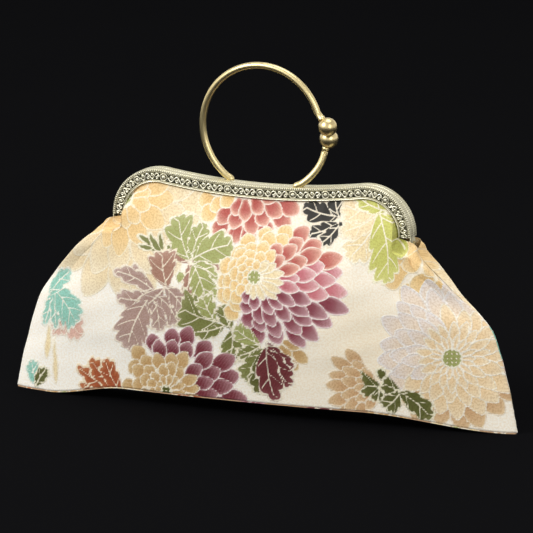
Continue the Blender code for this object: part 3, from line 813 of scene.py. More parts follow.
@dataclass
class RingHandle:
    """Two brass arcs that make the ring, each with a snap ball on its end."""

    curve: FrameCurve
    rod_brass: Material
    ball_brass: Material
    rod: float = 2.1
    ring: float = 40.5
    middle_x: float = -0.7
    reach: float = 1.0601
    foot_x: float = 22.9
    foot_depth: float = 2.87
    ball: float = 5.85
    ball_depth: float = 3.8
    stop_angle: float = 20.0
    foot_lift: float = 0.3
    drop: float = 2.75
    upper_step: Pair = (4.5, 5.35)
    lower_step: Pair = (2.3, -3.75)
    shares: tuple = ((0.753, -0.765), (0.970, -0.528), (0.985, -0.306))

    def foot_z(self) -> float:
        """Height of both arcs' feet, just over the frame's top."""
        return self.curve.crown_z(self.foot_x) + self.foot_lift

    def middle(self) -> Array:
        """Centre of the long arc in X and Z."""
        rise = math.sqrt((self.reach * self.ring) ** 2 - (self.foot_x + self.middle_x) ** 2)
        return np.array([self.middle_x, self.foot_z() + rise - self.drop])

    def ball_spot(self, step: Pair, depth: float) -> Array:
        """Centre of a snap ball."""
        middle = self.middle()
        return np.array([middle[0] + self.ring + step[0], depth, middle[1] + step[1]])

    def lean(self, flat: Array, start: float, end: float) -> Array:
        """Give a flat path a depth that changes evenly along it.

        Args:
            flat: Path in X and Z.
            start: Depth at its first point.
            end: Depth at its last point.

        Returns:
            The path in space.
        """
        steps = np.linalg.norm(np.diff(flat, axis=0), axis=1)
        share = np.concatenate([[0.0], np.cumsum(steps)]) / steps.sum()
        return np.stack([flat[:, 0], start + (end - start) * share, flat[:, 1]], 1)

    def long_path(self) -> Array:
        """Centre line of the long arc, from its foot on the back half to the upper ball.

        Returns:
            The points of the path.
        """
        foot = np.array([-self.foot_x, self.foot_z()])
        middle = self.middle()
        reach = foot - middle
        turn = math.acos(self.ring / np.linalg.norm(reach))
        leave = math.atan2(reach[1], reach[0]) + math.tau - turn
        touch = middle + self.ring * np.array([math.cos(leave), math.sin(leave)])
        a = np.linspace(leave, math.radians(self.stop_angle), 170)
        arc = middle + self.ring * np.stack([np.cos(a), np.sin(a)], 1)
        straight = foot + (touch - foot) * np.linspace(0.0, 0.92, 24)[:, None]
        return self.lean(np.concatenate([straight, arc]), self.foot_depth, -self.ball_depth)

    def short_path(self) -> Array:
        """Centre line of the short arc, from its foot on the front half to the lower ball.

        Returns:
            The points of the path.
        """
        foot = (self.foot_x, self.foot_z())
        corners = [self.middle() + self.ring * np.array(share) for share in self.shares]
        flat = bezier((foot, *corners), np.linspace(0.0, 1.0, 70))
        return self.lean(flat, -self.foot_depth, self.ball_depth)

    def arc(self, name: str, path: Array, ball: Array, body: Body) -> Array:
        """Build one arc with its foot collar and the neck that enters its ball.

        Args:
            name: The CAD node that the arc replaces.
            path: Centre line.
            ball: The ball's centre.
            body: The body that carries the arc.

        Returns:
            The direction in which the rod enters the ball.
        """
        foot = path[0]
        away = np.linalg.norm(path - foot, axis=1)
        keep = path[away > 3.0]
        stem = [(-1.9, 1.2), (-1.5, 1.6), (-1.45, 1.0), (-0.25, 1.0), (-0.2, 2.0), (0.1, 2.1)]
        below = np.array([foot + np.array([0.0, 0.0, rise]) for rise, radius in stem])
        corners = (below[-1], below[-1] + (0.0, 0.0, 0.7), keep[0] - (keep[1] - keep[0]), keep[0])
        bend = bezier(corners, np.linspace(0.12, 0.9, 9))
        way = ball - keep[-1]
        way /= np.linalg.norm(way)
        surface = ball - way * self.ball
        tail = np.array([surface - way * 1.1, surface - way * 0.9, surface - way * 0.2, surface + way * 1.8])
        whole = np.concatenate([below, bend, keep, tail])
        radii = [radius for rise, radius in stem] + [self.rod] * (len(bend) + len(keep))
        radii = np.array(radii + [self.rod, self.rod + 0.25, self.rod + 0.2, self.rod - 0.9])
        points, faces = tube(whole, radii, 40)
        seat(add_piece(f"{name}_rod", points, faces, self.rod_brass), name, body)
        return way

    def snap_ball(self, name: str, centre: Array, way: Array, body: Body) -> None:
        """Build one ball, turned with a fine collar where the rod enters.

        Args:
            name: The CAD node that the ball replaces.
            centre: Its centre.
            way: Direction in which the rod enters.
            body: The body that carries it.
        """
        a = np.linspace(0.30, math.pi - 0.012, 56)
        profile = np.stack([-self.ball * np.cos(a), self.ball * np.sin(a)], 1)
        lip = np.array([(-self.ball * 0.93, 1.25), (-self.ball * 0.965, 1.35)])
        points, faces = lathe(np.concatenate([lip, profile]), centre, way, 64)
        seat(add_piece(f"{name}_turned", points, faces, self.ball_brass), name, body)

    def build(self) -> None:
        """Build both arcs and both balls."""
        upper = self.ball_spot(self.upper_step, -self.ball_depth)
        lower = self.ball_spot(self.lower_step, self.ball_depth)
        way = self.arc("long_ring_arc", self.long_path(), upper, Body.BACK_FRAME)
        self.snap_ball("upper_clasp_ball", upper, way, Body.BACK_FRAME)
        way = self.arc("short_ring_arc", self.short_path(), lower, Body.FRONT_FRAME)
        self.snap_ball("lower_clasp_ball", lower, way, Body.FRONT_FRAME)


# Woven motifs


@dataclass(frozen=True)
class Dye:
    """Colours of one petal or leaf: deep at its root, pale at its tip, and the outline."""

    deep: Colour
    pale: Colour
    outline: Colour = (0.93, 0.88, 0.76)
    feather: float = 0.6


GOLD = Dye((0.88, 0.60, 0.25), (0.94, 0.80, 0.48), (0.97, 0.92, 0.76), 0.5)
PALE_GOLD = Dye((0.92, 0.77, 0.46), (0.95, 0.86, 0.63), (0.97, 0.93, 0.80), 0.6)
AMBER = Dye((0.88, 0.62, 0.28), (0.93, 0.74, 0.43), (0.96, 0.87, 0.66), 0.5)
FADED_GOLD = Dye((0.92, 0.76, 0.48), (0.94, 0.86, 0.66), (0.95, 0.88, 0.70), 0.6)
CRIMSON = Dye((0.48, 0.08, 0.065), (0.82, 0.48, 0.38), (0.94, 0.82, 0.74), 0.8)
ROSE = Dye((0.58, 0.14, 0.18), (0.86, 0.56, 0.58), (0.95, 0.88, 0.86), 0.85)
BURGUNDY = Dye((0.24, 0.03, 0.055), (0.64, 0.40, 0.44), (0.91, 0.83, 0.82), 0.75)
GARNET = Dye((0.19, 0.025, 0.04), (0.50, 0.27, 0.30), (0.91, 0.83, 0.82), 0.7)
BEIGE = Dye((0.60, 0.38, 0.16), (0.78, 0.60, 0.34), (0.95, 0.89, 0.74), 0.55)
TAN = Dye((0.66, 0.41, 0.21), (0.81, 0.62, 0.38), (0.93, 0.84, 0.68), 0.5)
LILAC = Dye((0.90, 0.76, 0.60), (0.86, 0.81, 0.80), (0.96, 0.94, 0.91), 0.8)
PEACH = Dye((0.90, 0.68, 0.40), (0.94, 0.81, 0.58), (0.97, 0.93, 0.82), 0.6)
LIGHT_GREEN = Dye((0.38, 0.42, 0.14), (0.55, 0.57, 0.28), (0.94, 0.91, 0.76), 0.4)
OLIVE = Dye((0.20, 0.22, 0.06), (0.36, 0.37, 0.16), (0.92, 0.88, 0.70), 0.35)
YELLOW_GREEN = Dye((0.60, 0.62, 0.15), (0.80, 0.79, 0.38), (0.96, 0.93, 0.72), 0.4)
DARK_GREEN = Dye((0.11, 0.12, 0.025), (0.22, 0.22, 0.08), (0.88, 0.85, 0.66), 0.25)
INK = Dye((0.017, 0.015, 0.010), (0.045, 0.042, 0.03), (0.88, 0.82, 0.68), 0.15)
MAUVE = Dye((0.46, 0.31, 0.27), (0.70, 0.56, 0.51), (0.93, 0.85, 0.72), 0.45)
RUSSET = Dye((0.40, 0.21, 0.15), (0.56, 0.37, 0.29), (0.93, 0.85, 0.70), 0.45)
WINE = Dye((0.15, 0.025, 0.03), (0.32, 0.11, 0.12), (0.91, 0.85, 0.72), 0.35)
TEAL = Dye((0.28, 0.62, 0.52), (0.52, 0.78, 0.70), (0.92, 0.93, 0.84), 0.5)
CORAL = Dye((0.78, 0.48, 0.40), (0.88, 0.66, 0.56), (0.94, 0.88, 0.78), 0.5)
RUST = Dye((0.40, 0.09, 0.03), (0.66, 0.27, 0.11), (0.93, 0.82, 0.62), 0.5)


NO_VEIN = 9.0
DOT_PITCH = 2.7


class Loom:
    """Cloth places in millimetres and the threads that show at each of them."""

    def __init__(self, x: Array, z: Array, ground: Array) -> None:
        """Start with plain ground of one colour, or of one colour a point.

        Args:
            x: Places across.
            z: Places up.
            ground: The colour or colours of the ground.
        """
        self.x = x
        self.z = z
        self.thread = np.broadcast_to(np.asarray(ground, float), (len(x), 3)).copy()
        self.outline = self.thread.copy()
        self.line = np.full(len(x), 6.0)
        self.raised = np.zeros(len(x))

    def near(self, place: Pair, reach: float) -> Array:
        """Numbers of the points within a square round a place."""
        return np.nonzero((np.abs(self.x - place[0]) < reach) & (np.abs(self.z - place[1]) < reach))[0]

    def measure(self, root: tuple, tip: tuple, width: float, curl: float = 0.0) -> tuple:
        """Measure the points round a petal or blade.

        Args:
            root: Its root in X and Z.
            tip: Its tip.
            width: Its greatest width.
            curl: Share of its length by which its middle line bows.

        Returns:
            Point numbers, the length, and each point's distance along and across the middle line.
        """
        root, tip = np.asarray(root, float), np.asarray(tip, float)
        length = max(0.5, float(np.linalg.norm(tip - root)))
        way = (tip - root) / length
        picked = self.near(tuple((root + tip) / 2.0), length * 0.5 + width * 0.5 + 3.0)
        dx, dz = self.x[picked] - root[0], self.z[picked] - root[1]
        s = dx * way[0] + dz * way[1]
        return picked, length, s, -dx * way[1] + dz * way[0] - 4.0 * curl * s * (1.0 - s / length)

    def lay(self, picked: Array, edge: Array, along: Array, dye: Dye, veins: Array) -> None:
        """Weave one shape over what is there.

        Args:
            picked: Numbers of the points concerned.
            edge: Distance to the shape's edge, negative inside it.
            along: Place from the root, 0, to the tip, 1.
            dye: The shape's colours.
            veins: Distance to the nearest vein.
        """
        inside = edge < 0.0
        hit = picked[inside]
        rim = 1.0 - ease(0.0, 2.3, -edge[inside])
        comb = 0.5 + 0.5 * np.sin(math.tau * (self.x[hit] * 0.9 + self.z[hit] * 1.3) / 1.9)
        pale = ease(0.4, 1.0, along[inside]) * 0.7 + rim * dye.feather + (comb - 0.5) * 0.3
        pale = np.clip(pale, 0.0, 1.0)
        self.thread[hit] = np.array(dye.deep) + (np.array(dye.pale) - np.array(dye.deep)) * pale[:, None]
        self.line[hit] = np.minimum(veins[inside], -edge[inside])
        self.raised[hit] = 1.0
        outer = ~inside
        ring = picked[outer]
        closer = edge[outer] < self.line[ring]
        self.line[ring[closer]] = edge[outer][closer]
        self.outline[hit] = dye.outline
        self.outline[ring[closer & (edge[outer] < 1.2)]] = dye.outline


@dataclass(frozen=True)
class Chrysanthemum:
    """A woven flower: rings of petals round a dotted disc, leaning to one side.

    The rings are (radius, petals, petal length, petal width) rows, the outermost first. The parts of
    another dye are (first angle, last angle, first ring, dye) rows: angles in degrees, rings counted
    from the middle. The first row that fits a petal is used.
    """

    middle: Pair
    rings: tuple
    dye: Dye
    parts: tuple = ()
    lean: Pair = (0.0, 0.0)
    tall: float = 1.0
    arc: Pair = (0.0, 360.0)
    disc: float = 4.4
    disc_dye: Dye = LIGHT_GREEN

    def dye_at(self, angle: float, ring: int) -> Dye:
        """Pick the dye of a petal from its angle in degrees and its ring.

        Args:
            angle: The petal's angle.
            ring: Its ring, counted from the middle.

        Returns:
            The petal's dye.
        """
        for first, last, inner, dye in self.parts:
            if ring >= inner and (angle - first) % 360.0 <= last - first:
                return dye
        return self.dye

    def petal(self, loom: Loom, root: Array, tip: Array, width: float, dye: Dye) -> None:
        """Weave one petal, narrow at its root, with a rounded head that ends in a soft point.

        Args:
            loom: The cloth.
            root: The petal's root in X and Z.
            tip: Its tip.
            width: Its greatest width.
            dye: Its colours.
        """
        picked, length, s, t = loom.measure(root, tip, width)
        head = 0.42 * length
        ahead = np.maximum(s - (length - head), 0.0) / head
        grow = 0.5 * width * (0.42 + 0.58 * ease(0.0, length - head, s))
        side = np.abs(t) * (1.0 + 0.45 * ahead**2) / grow
        size = np.hypot(ahead, side)
        slope = np.hypot(ahead / head, side / grow) / np.maximum(size, 1e-6)
        edge = np.maximum((size - 1.0) / np.maximum(slope, 1e-3), -s)
        along = np.clip(s / length, 0.0, 1.0)
        veins = np.where((along > 0.15) & (along < 0.8), np.abs(np.abs(t) - width * 0.2) + 0.42, 5.0)
        loom.lay(picked, edge, along, dye, veins)

    def weave(self, loom: Loom) -> None:
        """Weave the petals from the outermost ring inward, then the dotted disc.

        Args:
            loom: The cloth.
        """
        middle, lean = np.array(self.middle), np.array(self.lean)
        for place, (radius, petals, length, width) in enumerate(self.rings):
            for k in range(petals):
                turn = 360.0 * (k + 0.5 * (place % 2) + 0.13 * math.sin(2.1 * k + place)) / petals
                if (turn - self.arc[0]) % 360.0 > self.arc[1] - self.arc[0]:
                    continue
                a = math.radians(turn)
                way = lean + np.array([math.cos(a), self.tall * math.sin(a)])
                tip = middle + way * radius * (1.0 + 0.05 * math.sin(3.7 * k + 1.3 * place))
                root = middle + way * max(0.0, radius - length)
                self.petal(loom, root, tip, width, self.dye_at(turn, len(self.rings) - 1 - place))
        if self.disc:
            picked = loom.near(self.middle, self.disc + 2.0)
            over, up = loom.x[picked] - middle[0], loom.z[picked] - middle[1]
            grid = [np.mod(step + DOT_PITCH / 2, DOT_PITCH) - DOT_PITCH / 2 for step in (over, up)]
            dots = np.where(np.hypot(*grid) < 0.85, 0.0, 5.0)
            loom.lay(picked, np.hypot(over, up) - self.disc, np.full(len(picked), 0.3), self.disc_dye, dots)


@dataclass(frozen=True)
class Frond:
    """One blade of a leaf: rounded lobes that sweep forward from a curved rib."""

    root: Pair
    tip: Pair
    width: float
    dye: Dye
    pairs: float = 2.5
    curl: float = 0.06

    def weave(self, loom: Loom) -> None:
        """Weave the blade, its rib and one curved vein down the middle of each lobe.

        Args:
            loom: The cloth.
        """
        picked, length, s, t = loom.measure(self.root, self.tip, self.width, self.curl)
        side = np.abs(t)
        swept = (s - 0.7 * side - 0.7 * side**2 / self.width) / length
        inner = np.clip(swept, 0.0, 1.0)
        lobe = inner * self.pairs + 0.25 * (t > 0.0)
        spread = np.sin(math.pi * inner**0.7) ** 0.6
        notch = np.abs(np.sin(math.pi * lobe)) ** 0.7
        reach = 0.54 * self.width * spread * (0.66 + 0.34 * notch)
        edge = np.maximum(side - reach, np.maximum(-swept, swept - 1.0) * length) * 0.8
        turn = np.abs(lobe - np.floor(lobe) - 0.5) * length / self.pairs * 0.9
        vein = np.where(side < reach * 0.82, turn, NO_VEIN)
        rib = np.where((s > 0.0) & (s < length * 0.9), side, NO_VEIN)
        veins = np.minimum(vein, rib) if self.width > 8.0 else np.full(len(s), NO_VEIN)
        loom.lay(picked, edge, np.clip(s / length, 0.0, 1.0) * 0.7, self.dye, veins)


def fronds(*rows: tuple) -> tuple[Frond, ...]:
    """Blades from rows of root and tip in X and Z, width, dye and, where they differ, pairs and curl."""
    return tuple(Frond(row[:2], row[2:4], *row[4:]) for row in rows)


IVORY = np.array((0.97, 0.95, 0.885))
PEACH_GROUND = np.array((0.95, 0.86, 0.69))
BACK_SHIFT = 26.0
BASE_GROUND = (0.50, 0.33, 0.20)
BASE_DYES = (RUST, BEIGE, BURGUNDY, PALE_GOLD, WINE)
BASE_RINGS = ((15.0, 13, 8.0, 6.5), (10.0, 11, 6.0, 4.8))

FLOWERS_BEHIND = (
    Chrysanthemum(
        middle=(146, 122),
        rings=((62, 24, 20, 15), (48, 20, 18, 14), (34, 16, 16, 12), (20, 12, 14, 9)),
        dye=AMBER,
    ),
    Chrysanthemum(
        middle=(-90, 130),
        rings=((68, 17, 40, 22), (52, 15, 34, 18), (36, 13, 26, 14), (20, 12, 14, 9)),
        dye=AMBER,
        parts=((0, 360, 2, FADED_GOLD),),
        lean=(-0.1, 0),
        tall=0.95,
    ),
    Chrysanthemum(
        middle=(-12, 144),
        rings=((37, 18, 15, 11), (29, 16, 14, 10), (21, 13, 12, 9)),
        dye=CRIMSON,
        parts=((150, 222, 0, GOLD),),
        lean=(0.12, 0),
    ),
    Chrysanthemum(
        middle=(130, 47),
        rings=(
            (48, 21, 26, 13.5),
            (40, 19, 25, 11.5),
            (31, 19, 22, 8.8),
            (22, 18, 16, 5.8),
            (14, 18, 9, 3.4),
        ),
        dye=PEACH,
        parts=((215, 330, 4, TAN), (100, 215, 2, LILAC), (60, 100, 3, LILAC)),
        lean=(0.04, 0.04),
        disc=6,
    ),
)

LEAVES_BEHIND = fronds(
    (-41, 95, -56, 109, 12, RUSSET),
    (-41, 96, -52, 122, 20, LIGHT_GREEN),
    (-40, 97, -34, 119, 13, LIGHT_GREEN),
    (-40, 96, -20, 93, 8, RUSSET, 1.5),
    (-40, 97, -14, 108, 19, LIGHT_GREEN),
    (-40, 95, -21, 87, 9, LIGHT_GREEN),
    (-41, 95, -43, 71, 9, RUSSET),
    (-39, 95, -28, 71, 18, LIGHT_GREEN, 3.5),
    (-63, 98, -78, 109, 5, OLIVE, 1.5, -0.1),
    (-67, 102, -77, 103, 3.6, OLIVE, 1.5),
    (-61, 100, -70, 111, 4.4, OLIVE, 1.5),
    (-60, 101, -63, 112, 3.6, OLIVE, 1.5),
    (-55, 100, -57, 105, 3.6, OLIVE, 1.5),
    (-47, 82, -46, 89, 6, LIGHT_GREEN, 1.5),
    (-26, 78, -20, 79, 5, LIGHT_GREEN, 1.5),
    (-55, 78, -60, 100, 19, RUSSET),
    (-65.5, 75, -79.5, 91, 8, MAUVE, 1.5),
    (-63.5, 75, -94.5, 85, 11, MAUVE, 2.5, -0.08),
    (-63.5, 72, -91.5, 69, 13, MAUVE, 2.5, 0.08),
    (-57.5, 78, -78.5, 61, 12, MAUVE, 1.5),
    (-69.5, 69, -84.5, 36, 24, MAUVE, 3.5, -0.05),
    (-63.5, 73, -48.5, 56, 15, MAUVE, 2.5, 0.12),
    (-64.5, 69, -61.5, 50, 12, MAUVE),
    (-57.5, 79, -43.5, 66, 13, MAUVE),
    (-16, 58, -39, 52, 11, OLIVE),
    (-20, 60, -45, 67, 25, OLIVE),
    (-22, 60, -30, 75, 14, LIGHT_GREEN),
    (-11, 56, -17, 71, 12, OLIVE),
    (-11, 56, -14, 35, 16, OLIVE),
    (54, 130, 29, 134, 14, INK),
    (54, 129, 49, 143, 12, INK, 1.5),
    (54, 126, 35, 118, 11, INK),
    (55, 126, 44, 113, 10, INK),
    (54, 127, 60, 119, 6, INK, 1.5),
    (80, 130, 64, 106, 19, PALE_GOLD),
    (80, 133, 57, 121, 14, FADED_GOLD),
    (80, 134, 55, 137, 16, FADED_GOLD),
    (84, 135, 62, 144, 10, YELLOW_GREEN),
    (84, 134, 101, 121, 15, YELLOW_GREEN),
    (80, 134, 91, 93, 25, YELLOW_GREEN, 3.5, 0.06),
    (-142, 66, -148, 43, 9, TEAL),
    (-138, 56, -134, 39, 15, CORAL),
    (-140, 60, -119, 39, 17, CORAL),
    (-142, 66, -138, 42, 9, TEAL),
    (-143, 68, -122, 48, 21, TEAL, 3.5, 0.1),
    (-144, 62, -130, 80, 12, TEAL),
    (-92, 8, -121, 8, 9, RUST, 1.5),
    (-92, 7, -122, 20, 11, RUST),
    (-91, 7, -112, 26, 13, RUST),
    (-91, 6, -101, 27, 13, RUST),
    (-138, 6, -139, 36, 4, PALE_GOLD, 1.5, 0),
    (-145, 22, -143, 44, 5, PALE_GOLD, 1.5, 0),
    (-152, 2, -157, 19, 11, TEAL),
    (-154, 2, -145, 15, 9, DARK_GREEN),
)

FLOWERS_IN_FRONT = (
    Chrysanthemum(
        middle=(19, 52),
        rings=((24, 12, 14, 9), (16, 10, 12, 8)),
        dye=BEIGE,
        arc=(280, 350),
        disc=0,
    ),
    Chrysanthemum(
        middle=(3, 90),
        rings=(
            (43.5, 20, 16, 11),
            (36.5, 19, 15, 10.2),
            (29.5, 17, 14, 9.2),
            (22, 15, 12.5, 7.8),
            (14.5, 13, 10.5, 5.4),
        ),
        dye=PALE_GOLD,
        parts=(
            (84, 217, 0, GOLD),
            (217, 350, 1, BURGUNDY),
            (350, 392, 1, ROSE),
            (32, 84, 1, CRIMSON),
        ),
        lean=(0.43, -0.12),
        tall=0.86,
    ),
    Chrysanthemum(
        middle=(-58.5, 11),
        rings=(
            (43, 18, 16, 11.5),
            (35, 17, 15, 10.5),
            (27, 15, 14, 9.5),
            (19, 14, 12, 7.5),
            (11, 12, 8, 4.8),
        ),
        dye=BEIGE,
        parts=((-18, 60, 2, GARNET), (60, 128, 3, GARNET)),
        lean=(0.30, 0),
        disc=3.4,
        disc_dye=DARK_GREEN,
    ),
    Chrysanthemum(
        middle=(85, 24),
        rings=((35, 22, 20, 9), (26, 18, 18, 8), (17, 14, 13, 6.5)),
        dye=TAN,
        arc=(118, 246),
        disc=0,
    ),
)

LEAVES_IN_FRONT = fronds(
    (8, 48, -9, 57, 13, LIGHT_GREEN),
    (8, 47, -8, 39, 10, OLIVE),
    (12, 50, 29, 34, 12, WINE, 2.5, -0.1),
    (12, 48, 26, 22, 16, WINE, 2.5, -0.05),
    (11, 46, -4, 24, 17, OLIVE, 2.5, 0.06),
    (10, 45, 4, 16, 15, DARK_GREEN, 2.5, 0.05),
    (12, 47, 16, 12, 17, WINE, 2.5, -0.05),
    (86, 27, 75, 27, 16, DARK_GREEN, 1.5),
    (84, 26, 83, 17, 9, DARK_GREEN, 1.5),
    (89, 30, 85, 38, 6, DARK_GREEN, 1.5),
    (98, 25, 87, 29, 11, DARK_GREEN, 1.5),
    (98, 24, 88, 13, 13, DARK_GREEN),
    (97, 24, 117, 8, 14, DARK_GREEN),
)

BASE_FLOWERS = tuple(
    Chrysanthemum((-154.0 + 22.0 * k, 9.0 * (-1) ** k), BASE_RINGS, BASE_DYES[k % 5], disc=2.4)
    for k in range(15)
)


def weave_flowers(x: Array, z: Array, side: Side) -> Loom:
    """Weave the bag's chrysanthemums; the back is cut from another stretch of the same cloth.

    Args:
        x: Cloth places across.
        z: Cloth places up.
        side: The panel's side.

    Returns:
        The woven cloth.
    """
    place = x if side is Side.FRONT else BACK_SHIFT - x
    peach = 0.75 * ease(-20.0, 60.0, place) * (1.0 - 0.6 * ease(30.0, -10.0, z))
    peach = peach + 0.25 * np.sin(0.045 * place + 1.0) * np.sin(0.06 * z + 0.02 * place)
    peach = np.clip(peach + 0.8 * ease(70.0, 125.0, z) * ease(-40.0, -100.0, place), 0.0, 1.0)[:, None]
    loom = Loom(place, z, IVORY * (1.0 - peach) + PEACH_GROUND * peach)
    for group in (FLOWERS_BEHIND, LEAVES_BEHIND, FLOWERS_IN_FRONT, LEAVES_IN_FRONT):
        for motif in group:
            motif.weave(loom)
    return loom


# Bag


@dataclass(frozen=True)
class PanelForm:
    """Shape of one layer of a front or back panel, with its depth measured from the middle plane."""

    curve: FrameCurve
    corner: float
    low: Pair
    ridge: tuple
    seam: tuple
    base: float
    body: float
    top: float
    spread: float
    ridge_top: float
    foot: float
    swell: float
    lip: float
    tail: float
    hold: Pair
    edge: float = 0.9
    lens_power: float = 0.75
    arch: float = 8.6
    arch_start: float = 0.52
    arch_end: float = 0.86
    parting: float = 0.15
    reach: float = 1.0
    folds: tuple = ((0.5, 0.3, 1.0), (0.7, 0.66, 0.9))
    fold_width: float = 0.06
    fold_depth: float = 1.3

    def side(self, t: Array, seam: bool) -> Array:
        """Ridge or seam line of the right side in X and Z.

        Args:
            t: Places along the line, from the base up.
            seam: Give the seam line, not the ridge.

        Returns:
            X and Z of each place.
        """
        inset = 0.0 if seam else 0.4
        corners = ((self.corner - inset, self.foot), self.low, *(self.seam if seam else self.ridge))
        return bezier(corners, t)

    def lens(self, u: Array) -> Array:
        """Share of the base's half depth at a share of its half length."""
        return np.maximum(0.0, 1.0 - u * u) ** self.lens_power

    def arch_z(self, u: Array) -> Array:
        """Height of the base over the floor.

        Args:
            u: Share of the base's half length, negative at the left.

        Returns:
            The height at each place.
        """
        right = self.arch * (1.0 - ease(self.arch_start - 0.1, 1.0, u))
        left = self.arch * (1.0 - ease(self.arch_start, self.arch_end, -u))
        return np.where(np.asarray(u) > 0.0, right, left)

    def ridge_depth(self, t: Array) -> Array:
        """Distance of the ridge from the middle plane."""
        back = (self.edge + self.spread - self.ridge_top) * ease(0.88, 1.0, t)
        return self.edge + self.spread * ease(0.52, 0.88, t) - back

    def mouth(self, u: Array, offset: float) -> tuple[Array, Array]:
        """Line under the frame's lip in X and Z; past the channel's end it runs out to the ridge.

        Args:
            u: Places across, from -1 at the left ridge to 1 at the right.
            offset: Distance inward from the frame's outer curve.

        Returns:
            X and Z of each place.
        """
        line = self.curve.line(241, self.curve.end_z - 0.6)
        share = np.clip(np.abs(u) / self.tail, 0.0, 1.0) * np.sign(u)
        row = 0.5 * (share * self.reach + 1.0) * (len(line) - 1)
        x, z, nx, nz = [np.interp(row, np.arange(len(line)), line[:, k]) for k in range(4)]
        x, z = x + offset * nx, z + offset * nz
        if self.tail < 1.0:
            t = np.clip((np.abs(u) - self.tail) / (1.0 - self.tail), 0.0, 1.0)
            end = self.ridge[1]
            x, z = x + (np.sign(u) * end[0] - x) * t, z + (end[1] - z) * t
        return x, z

    def tucked(self, u: Array, offset: float) -> Array:
        """Row of the cloth inside the channel, at a distance inward from the frame's outer curve."""
        x, z = self.mouth(u, offset)
        return np.stack([x, np.full(len(x), self.top), z], 1)

    def depth(self, u: Array, v: Array) -> Array:
        """Distance of the panel from the middle plane.

        Args:
            u: Places across, from -1 at the left ridge to 1 at the right.
            v: Places up, from 0 at the base to 1 under the lip.

        Returns:
            The distance at each place.
        """
        centre = self.base * (1.0 - v) + self.top * v
        centre = centre + (self.body - 0.5 * (self.base + self.top)) * np.sin(math.pi * v) ** self.swell
        near = ease(0.72, 1.0, v)
        inside = 1.0 - ease(0.94, 1.0, np.abs(u))
        share = self.lens(u) * (1.0 - near) + inside * near
        folds = np.zeros_like(u)
        for start, finish, height in self.folds:
            fold = start + (finish - start) * (1.0 - v)
            folds = folds + height * ease(0.25, 0.8, v) * bell(np.abs(u), fold, self.fold_width)
        depth = self.ridge_depth(v) * (1.0 - share) + centre * share
        return depth + self.fold_depth * folds * (1.0 - near**3)

    def held(self, x: Array, z: Array) -> Array:
        """Keep the cloth inside the frame's mouth until it is below the frame's ends.

        Args:
            x: Places across.
            z: Their heights.

        Returns:
            The places across, held inside the mouth.
        """
        inner = self.curve.hump_radius - self.lip
        rise = np.clip(z - self.curve.hump_z, 0.0, inner)
        wall = self.curve.hump_x + np.sqrt(inner**2 - rise**2)
        over = np.abs(x) - wall
        free = (over <= 0.0) | (z > self.curve.hump_z + inner)
        hold = ease(self.hold[0], self.hold[1], z)
        return np.where(free, x, np.sign(x) * (wall + over * (1.0 - 0.98 * hold)))

    def main(self, u: Array, v: Array) -> Array:
        """Points of the panel between its two ridges, depth positive.

        Args:
            u: Places across, from -1 at the left ridge to 1 at the right.
            v: Places up, from 0 at the base to 1 under the lip.

        Returns:
            One point for each place.
        """
        corner = self.corner - 0.4
        top_x, top_z = self.mouth(u, self.lip)
        ridge = self.side(v, False)
        x = (1.0 - v) * u * corner + v * top_x
        x = x + u * (ridge[..., 0] - (1.0 - v) * corner - v * self.ridge[1][0])
        z = (1.0 - v) * (self.arch_z(u * corner / HALF_WIDTH) + self.foot) + v * top_z
        z = z + ridge[..., 1] - (1.0 - v) * self.foot - v * self.ridge[1][1]
        within = (v < 1.0) & (np.abs(u) <= self.tail)
        x = np.where(within, self.held(x, z), x)
        return np.stack([x, self.depth(u, v), z], -1)

    def flank(self, v: Array, count: int) -> Array:
        """Points from the right ridge back to the side seam, without the ridge itself.

        Args:
            v: Places up, from 0 at the base to 1 under the lip.
            count: Count of points across the flank.

        Returns:
            One row of points for each place.
        """
        ridge, seam = self.side(v, False), self.side(v, True)
        t = np.linspace(0.0, 1.0, count + 1)[None, 1:]
        depth = self.ridge_depth(v)[:, None]
        bow = 0.08 * depth * np.sin(math.pi * t)
        x = ridge[:, :1] + (seam[:, :1] - ridge[:, :1]) * t + bow
        z = ridge[:, 1:] + (seam[:, 1:] - ridge[:, 1:]) * t
        return np.stack([x, depth + (self.parting - depth) * t, z], -1)


CURVE = FrameCurve()
OUTER_FORM = PanelForm(
    curve=CURVE,
    corner=HALF_WIDTH,
    low=(157.0, 62.0),
    ridge=((151.0, 80.0), (101.5, 117.0)),
    seam=((149.0, 78.0), (105.5, 111.5)),
    base=20.0,
    body=25.0,
    top=4.6,
    spread=10.5,
    ridge_top=7.8,
    foot=1.1,
    swell=1.0,
    lip=9.2,
    tail=0.94,
    hold=(108.0, 113.0),
)
LINING_END = (88.17, 126.3)
LINING_FORM = PanelForm(
    curve=CURVE,
    corner=160.0,
    low=(150.0, 62.0),
    ridge=((95.0, 97.0), LINING_END),
    seam=((95.0, 97.0), LINING_END),
    base=18.2,
    body=18.0,
    top=3.5,
    spread=1.2,
    ridge_top=2.1,
    foot=2.6,
    swell=2.0,
    lip=10.6,
    tail=1.0,
    hold=(159.5, 160.5),
    reach=0.9,
)


@dataclass(frozen=True)
class BaseForm:
    """One layer of the base, and the panels that it hangs between; the flat size is in metres."""

    name: str
    node: str
    slot: str
    panel: str
    flat: Pair
    length: float
    inset: float
    low: float
    thickness: float
    columns: int
    across: int


